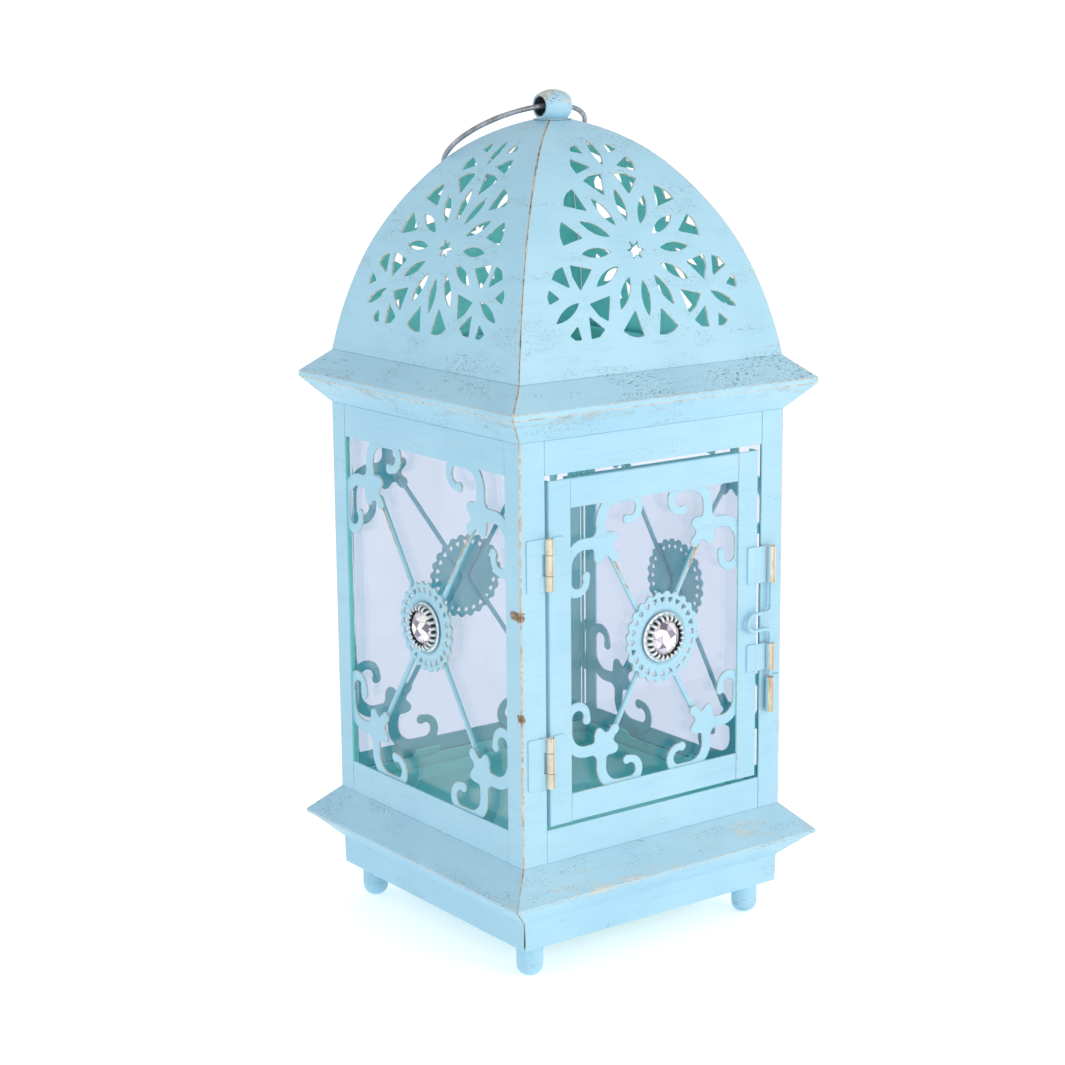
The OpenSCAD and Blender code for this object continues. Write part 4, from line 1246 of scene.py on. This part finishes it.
def door_strip(name, node, path, ends, put, seed, edge=0.85):
    s = Shell()
    P, wr = fold_path(path, [0, 0.5, 0], [0.2, 0.45, edge], steps=6, spread=0.5)
    # a row close to the window edge, so that its wear stays a thin line
    t = P[-2] + (P[-1] - P[-2]) * (1 - 0.32 / np.linalg.norm(P[-1] - P[-2]))
    P, wr = np.vstack([P[:-1], t, P[-1] + (t - P[-1]) * 0.2, P[-1]]), np.concatenate([wr[:-1], [0.0, edge, edge]])
    lo, hi = ends
    st = [(lo, 0.09, 0.7), (lo + 0.09, 0.0, 0.55), (lo + 0.35, 0.0, 0.0)] + [(u, 0.0, 0.0) for u in np.linspace(lo + 2, hi - 2, 34)] + [(hi - 0.35, 0.0, 0.0), (hi - 0.09, 0.0, 0.55), (hi, 0.09, 0.7)]

    def place_at(a, b, u):
        w = noise.noise(Vector((u / 19, seed * 4.1, 2.3))) * 0.03
        return put(a, b, u, w)

    strip_solid(s, P, SHEET, wr, st, place_at, extra=dict(scr=lambda V: 0.06 * np.ones(len(V))))
    s.make(name, "door", M_DOOR, "blue_paint", node)


for sx, side in ((-1, "left"), (1, "right")):
    door_strip(f"door_stile_folded_{side}", f"door_stile_{side}", [(DW, HB - FOLD), (DW, HB), (DWIN_HW + SEAM / 2, HB)], (DOOR_LO, DOOR_HI),
               lambda a, b, u, w, sx=sx: W(0, sx * a, b + w, u), 31 + sx)
e = DWIN_HW - SEAM / 2
door_strip("door_rail_folded_top", "door_rail_top", [(HB - FOLD, -DOOR_HI), (HB, -DOOR_HI), (HB, -DWIN_HI)], (-e, e),
           lambda a, b, u, w: W(0, u, a + w, -b), 33)
door_strip("door_rail_folded_bottom", "door_rail_bottom", [(HB - FOLD, DOOR_LO), (HB, DOOR_LO), (HB, DWIN_LO)], (-e, e),
           lambda a, b, u, w: W(0, u, a + w, b), 34)


# ------------------------------------------------------------- rolled hardware
def roll(shell, path, t, z0, z1, wr=0.5, chamfer=0.08, **vals):
    """A strip bent along path in (x, y), standing from z0 to z1."""
    P = np.asarray(path, float)
    st = [(z0, chamfer, wr), (z0 + chamfer, 0.0, wr * 0.8)] + [(z, 0.0, 0.0) for z in np.linspace(z0 + 0.35, z1 - 0.35, 7)] + [(z1 - chamfer, 0.0, wr * 0.8), (z1, chamfer, wr)]
    strip_solid(shell, P, t, np.zeros(len(P)), st, lambda a, b, z: np.stack([a, b, np.full(len(a), z)], 1), inner_side=False,
                extra={k: v for k, v in vals.items()})


def knuckle_path(cx, cy, r, leaf_x, leaf_y, side, gap=18):
    """From the leaf's far edge along its face, then round the barrel. side -1: leaf on the left."""
    out = [(leaf_x, leaf_y), (leaf_x + (cx - leaf_x) * 0.5, leaf_y)]
    # the leaf meets the barrel at its back and wraps over the front
    rm = r
    n = 26
    start, sweep = (90, -(360 - gap)) if side < 0 else (90, (360 - gap))
    for i in range(n + 1):
        a = math.radians(start + sweep * i / n)
        out.append((cx + rm * math.cos(a), cy + rm * math.sin(a)))
    return out


def leaf_blue(V):
    return (np.abs(V[:, 0] - HX) > 1.02).astype(float)


def leaf_line(V):
    """A dark rub line up the front of each knuckle."""
    return np.exp(-((V[:, 0] - HX - 0.12) / 0.13) ** 2) * (V[:, 1] < HY - 0.3) * 0.85


frame_leaf, door_leaf, frame_roll, door_roll, pins = Shell(), Shell(), Shell(), Shell(), Shell()
for z0 in (48.6, 96.6):
    hgt, kn = 12.5, 3.7
    # plates, cut from thin sheet with rounded corners; the frame's is notched round the door's knuckle
    notch = [[HX - 6, z0], [HX - 1.5, z0], [HX - 1.5, z0 + hgt], [HX - 6, z0 + hgt]]
    sheet(frame_leaf, [resample(rounded(notch, 0.35, 3), 1.5)], 0.4, 0.1, 1.5, lambda x, y, h: W(0, x, HB + h, y), wear=0.55, extra=dict(scr=lambda x, y: np.full(len(x), 0.05)))
    plate = [[HX + 1.5, z0], [HX + 4.7, z0], [HX + 4.7, z0 + hgt], [HX + 1.5, z0 + hgt]]
    sheet(door_leaf, [resample(rounded(plate, 0.35, 3), 1.5)], 0.4, 0.1, 1.5, lambda x, y, h: W(0, x, HB + h, y), wear=0.55, extra=dict(scr=lambda x, y: np.full(len(x), 0.05)))
    for za in (z0, z0 + hgt - kn):
        q = knuckle_path(HX, HY, 1.0 - 0.0, HX - 2.4, HY + 1.0, -1)
        roll(frame_roll, q[::-1], 0.44, za, za + kn, line=leaf_line, blue=leaf_blue)
    zb = z0 + kn + 0.1
    q = knuckle_path(HX, HY, 1.0, HX + 2.4, HY + 1.0, 1)
    roll(door_roll, q, 0.44, zb, zb + hgt - 2 * kn - 0.2, line=leaf_line, blue=leaf_blue)
    lathe(pins, [(0, -0.22), (0.3, -0.2), (0.46, -0.08), (0.5, 0.1), (0.5, hgt - 0.1), (0.46, hgt + 0.08), (0.3, hgt + 0.2), (0, hgt + 0.22)],
          lambda x, y, h, z0=z0: np.stack([x + HX, y + HY, h + z0], 1), 24)
frame_leaf.make("hinge_plates_frame", "lantern", M_DOOR, "blue_paint", "hinge_frame_leaves")
frame_roll.make("hinge_knuckles_frame", "lantern", M_RAW, "antique_metal", "hinge_frame_leaves")
door_leaf.make("hinge_plates_door", "door", M_DOOR, "blue_paint", "hinge_door_leaves")
door_roll.make("hinge_knuckles_door", "door", M_RAW, "antique_metal", "hinge_door_leaves")
pins.make("hinge_pins_turned", frame["nodes"]["hinge_pins"]["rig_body"], M_RAW, "antique_metal", "hinge_pins")


def latch_line(V):
    return np.exp(-((V[:, 0] - LX + 0.05) / 0.16) ** 2) * (V[:, 1] < LY - 0.3) * 0.8


def latch_blue(V):
    return (np.abs(V[:, 0] - LX) > 1.0).astype(float)


def barrel(shell, z, h, x1, x2):
    s = -1 if x2 < LX else 1
    yb, yt = -HB, -HB - 0.4
    # outer face of the strip as seen from behind: flat leaf, a small step up, then round the barrel
    pts = [(x2, yb), (x2 + (x1 - x2) * 0.5, yb), (x1 - s * -0.6, yb), (x1 - s * -0.1, yb - 0.05), (x1 + s * -0.3, yb - 0.3), (x1 + s * -0.7, yb - 0.4), (x1 + s * -1.6 if abs(x1 - LX) > 2 else LX + s * 0.4, yb - 0.4)]
    n = 26
    for i in range(n + 1):
        a = math.radians(90 + s * (340) * i / n)
        pts.append((LX + 1.1 * math.cos(a), LY + 1.1 * math.sin(a)))
    if s < 0:
        pts = pts[::-1]
        pts = pts
    P = pts
    if s < 0:
        roll(shell, P, 0.4, z, z + h, line=latch_line, blue=latch_blue)
    else:
        roll(shell, P, 0.4, z, z + h, line=latch_line, blue=latch_blue)


barrels, keeper = Shell(), Shell()
barrel(barrels, 88.8, 9.3, 31.6, 29.0)
barrel(barrels, 66.2, 6.9, 31.6, 29.0)
barrel(keeper, 55.3, 9.0, 36.6, 39.8)
barrels.make("latch_barrels_rolled", "door", M_RAW, "antique_metal", "latch_barrels")
keeper.make("latch_keeper_rolled", "lantern", M_RAW, "antique_metal", "latch_keeper")

# bolt: one bent wire
b, zl, zh = 1.6, 76.9, 81.2
m = (zh - zl) / 2
pts = [(0, 64.6)] + [(0, z) for z in np.linspace(65.5, zl - b - 0.4, 9)]
pts += [(-b + b * math.cos(a), zl - b + b * math.sin(a)) for a in np.linspace(0, math.pi / 2, 7)]
pts += [(-3.4, zl)]
pts += [(-5.4 + m * math.cos(a), zl + m + m * math.sin(a)) for a in np.linspace(-math.pi / 2, -3 * math.pi / 2, 13)]
pts += [(-3.4, zh)]
pts += [(-b + b * math.cos(a), zh + b + b * math.sin(a)) for a in np.linspace(-math.pi / 2, 0, 7)]
pts += [(0, z) for z in np.linspace(zh + b + 0.5, 97.0, 12)] + [(0, 97.9)]
pts = np.array(pts)
P3 = np.stack([LX + pts[:, 0], np.full(len(pts), LY), pts[:, 1]], 1)
bolt = Shell()
tube(bolt, P3, 0.5, 14, wear=lambda V: 0.30 + 0.25 * np.exp(-((V[:, 0] - LX + 7.5) / 0.5) ** 2), scr=0.2)
bolt.make("wire_bolt_bent", "bolt", M_WIRE, "wire_metal", "latch_bolt")

# --------------------------------------------------------------------- hanger
hang = Shell()
prof = [(-4.1 + math.sqrt(8.1 ** 2 - t * t), t) for t in np.linspace(-3.84, 3.84, 21)]
prof = [(2.35, -3.8), (2.6, -3.9)] + prof + [(2.6, 3.9), (2.35, 3.8)] + [(2.2, t) for t in np.linspace(3.6, -3.6, 9)]


def bead_put(x, y, h):
    w = np.array([noise.noise(Vector((float(a) / 2.2, float(b_) / 2.2, float(c) / 2.2))) for a, b_, c in zip(x, y, h)]) * 0.05
    f = 1 + w / np.maximum(np.hypot(x, y), 1)
    return np.stack([h, x * f, y * f + EYE_Z], 1)


def bead_wear(V):
    return np.clip((V[:, 2] - 1.0) / 4, 0, 0.4)


# the bore of the eye is painted near-black, as shade
lathe(hang, prof, bead_put, 64, closed=True,
      wear=lambda V: np.clip(0.46 + 0.34 * (V[:, 1] / 4.0) - 0.06 * V[:, 0] / 4.0, 0.05, 0.8) * (np.hypot(V[:, 0], V[:, 1]) > 2.5) + 0.0,
      rub=lambda V: np.clip(0.9 - ((V[:, 0] + 3.3) / 2.0) ** 2 - ((V[:, 1] - 0.6) / 2.2) ** 2 - ((V[:, 2] - 1.4) / 2.4) ** 2, 0, 1),
      scr=lambda V: np.where(V[:, 1] > 1.2, 0.95, 0.2),
      inner=lambda V: (np.hypot(V[:, 0], V[:, 1]) < 2.4).astype(float))
# neck flowing from the bead down to the crown of the dome; below z 202 the neck and its foot disc take near-black
# painted shade
sec = [(204.3, 2.5, 1.2, 0.7), (203.8, 2.75, 1.4, 0.7), (203.45, 2.95, 1.7, 0.65), (203.22, 3.2, 2.2, 0.6), (203.06, 3.5, 2.9, 0.5),
       (202.98, 3.8, 3.5, 0.45), (202.92, 3.98, 3.85, 0.42), (202.83, 4.05, 4.0, 0.4), (202.76, 4.0, 4.0, 0.4), (202.74, 3.45, 3.45, 0.4),
       (201.46, 3.45, 3.45, 0.4), (201.4, 5.3, 5.3, 1.0), (201.3, 5.4, 5.4, 1.0), (200.8, 5.4, 5.4, 1.0), (200.7, 5.3, 5.3, 1.0)]
ang = np.linspace(0, 2 * math.pi, 48, endpoint=False)
V, F = [], []
for z, a, b_, p in sec:
    cx, cy = np.sign(np.cos(ang)) * np.abs(np.cos(ang)) ** p, np.sign(np.sin(ang)) * np.abs(np.sin(ang)) ** p
    V.append(np.stack([a * cx, b_ * cy, np.full(48, z)], 1))
for i in range(len(sec) - 1):
    for j in range(48):
        F.append((i * 48 + j, i * 48 + (j + 1) % 48, (i + 1) * 48 + (j + 1) % 48, (i + 1) * 48 + j))
F += [tuple(range(48)), tuple(range((len(sec) - 1) * 48, len(sec) * 48))]
V = np.concatenate(V)
# the tan band up the right side of the neck, x near 3 mm, is a painted highlight
hang.add(V, F, wear=np.where(np.abs(V[:, 2] - 202.86) < 0.12, 0.62, 0.1), scr=0.35, rub=np.clip(1 - np.abs(V[:, 0] - 3) / 1.2, 0, 1) * 0.5, inner=(V[:, 2] < 202.0).astype(float))
hang.make("rolled_eye_hanger", "lantern", M_HANG, "blue_paint", "hanger_strap")

# ----------------------------------------------------------------- carry ring
n = 120
ph = np.linspace(0, 2 * math.pi, n, endpoint=False)
rr = RING_R + 0.10 * np.sin(2 * ph + 0.7) * (1 + np.sin(ph)) / 2 + 0.05 * np.sin(5 * ph) * (1 + np.sin(ph)) / 2
x, y = rr * np.cos(ph), RING_R + rr * np.sin(ph)
P3 = np.stack([x, y * math.cos(DROOP), RING_Z - y * math.sin(DROOP)], 1)
ring = Shell()
tube(ring, P3, RING_W * (1 + 0.02 * np.sin(7 * ph) + 0.015 * np.sin(13 * ph + 1)), 18, closed=True)
ring.make("bent_wire_carry_ring", "ring", M_RING, "ring_metal", "carry_ring")

# ----------------------------------------------------- CAD nodes that stay as they are
def finish_node(name, material, width=0.1):
    o = frame["nodes"][name]
    w = o.modifiers.new("weld", "WELD")
    w.merge_threshold = 1e-6
    bv = o.modifiers.new("bevel", "BEVEL")
    bv.width = width * 0.001
    bv.segments = 2
    bv.limit_method = "ANGLE"
    bv.angle_limit = math.radians(40)
    o.modifiers.new("normals", "WEIGHTED_NORMAL")
    o.data.materials.clear()
    o.data.materials.append(material)


finish_node("floor_plate", M_INSIDE_SHADE, 0.12)
for name in ("glass_left", "glass_back", "glass_right", "door_glass"):
    finish_node(name, M_GLASS, 0.15)
for name in ("glass_clips", "door_glass_clips"):
    finish_node(name, M_INSIDE_SHADE, 0.07)

# -------------------------------------------------------------- stage, light
fm = Nodes("stage_floor")
fm.set(Base_Color=fm.mix(fm.ramp(fm.noise(fm.mapped((3, 3, 3))), 0.3, 0.7), (0.94, 0.94, 0.945, 1), (0.95, 0.95, 0.95, 1)), Roughness=0.9, Specular_IOR_Level=0.1, Emission_Color=(1, 1, 1, 1), Emission_Strength=0.42)
bm = bmesh.new()
bmesh.ops.create_grid(bm, x_segments=8, y_segments=8, size=6.0)
fmesh = bpy.data.meshes.new("stage_floor")
bm.to_mesh(fmesh)
bm.free()
floor = bpy.data.objects.new("stage_floor", fmesh)
bpy.context.scene.collection.objects.link(floor)
floor.location = (0, 0, -0.0001)
fmesh.materials.append(fm.m)

world = bpy.data.worlds.new("soft_studio")
world.use_nodes = True
wt = world.node_tree
wz = wt.nodes.new("ShaderNodeSeparateXYZ")
wt.links.new(wt.nodes.new("ShaderNodeTexCoord").outputs["Generated"], wz.inputs[0])
wr_ = wt.nodes.new("ShaderNodeMapRange")
wt.links.new(wz.outputs[2], wr_.inputs["Value"])
wr_.inputs["To Min"].default_value = 1.08
wr_.inputs["To Max"].default_value = 0.66
wt.nodes["Background"].inputs[0].default_value = (0.99, 0.995, 1.0, 1)
wt.links.new(wr_.outputs["Result"], wt.nodes["Background"].inputs[1])
bpy.context.scene.world = world


def softbox(name, place_, target, size, power, colour=(1, 1, 1)):
    ld = bpy.data.lights.new(name, "AREA")
    ld.shape = "RECTANGLE"
    ld.size, ld.size_y = size
    ld.energy = power
    ld.color = colour
    o = bpy.data.objects.new(name, ld)
    bpy.context.scene.collection.objects.link(o)
    o.location = place_
    o.rotation_mode = "QUATERNION"
    o.rotation_quaternion = (Vector(target) - Vector(place_)).to_track_quat("-Z", "Y")
    return o


softbox("key_low_front", (0.35, -1.15, 0.42), (0, 0, 0.07), (0.8, 0.5), 4.4, (1.0, 0.80, 0.69))

cam_data = bpy.data.cameras.new("camera")
cam_data.lens = 80.207
cam_data.sensor_width = 36.0
cam_data.clip_start = 0.01
cam_data.clip_end = 30.0
cam = bpy.data.objects.new("camera", cam_data)
bpy.context.scene.collection.objects.link(cam)
right = Vector((0.804559, -0.593810, -0.008633))
up = Vector((0.132579, 0.165425, 0.977270))
back = -Vector((0.578884, 0.787417, -0.211821))
rot = Matrix((right, up, back)).transposed()
cam.matrix_world = Matrix.Translation((-0.353849, -0.471515, 0.226955)) @ rot.to_4x4()
bpy.context.scene.camera = cam
bpy.context.scene.view_settings.view_transform = "Standard"
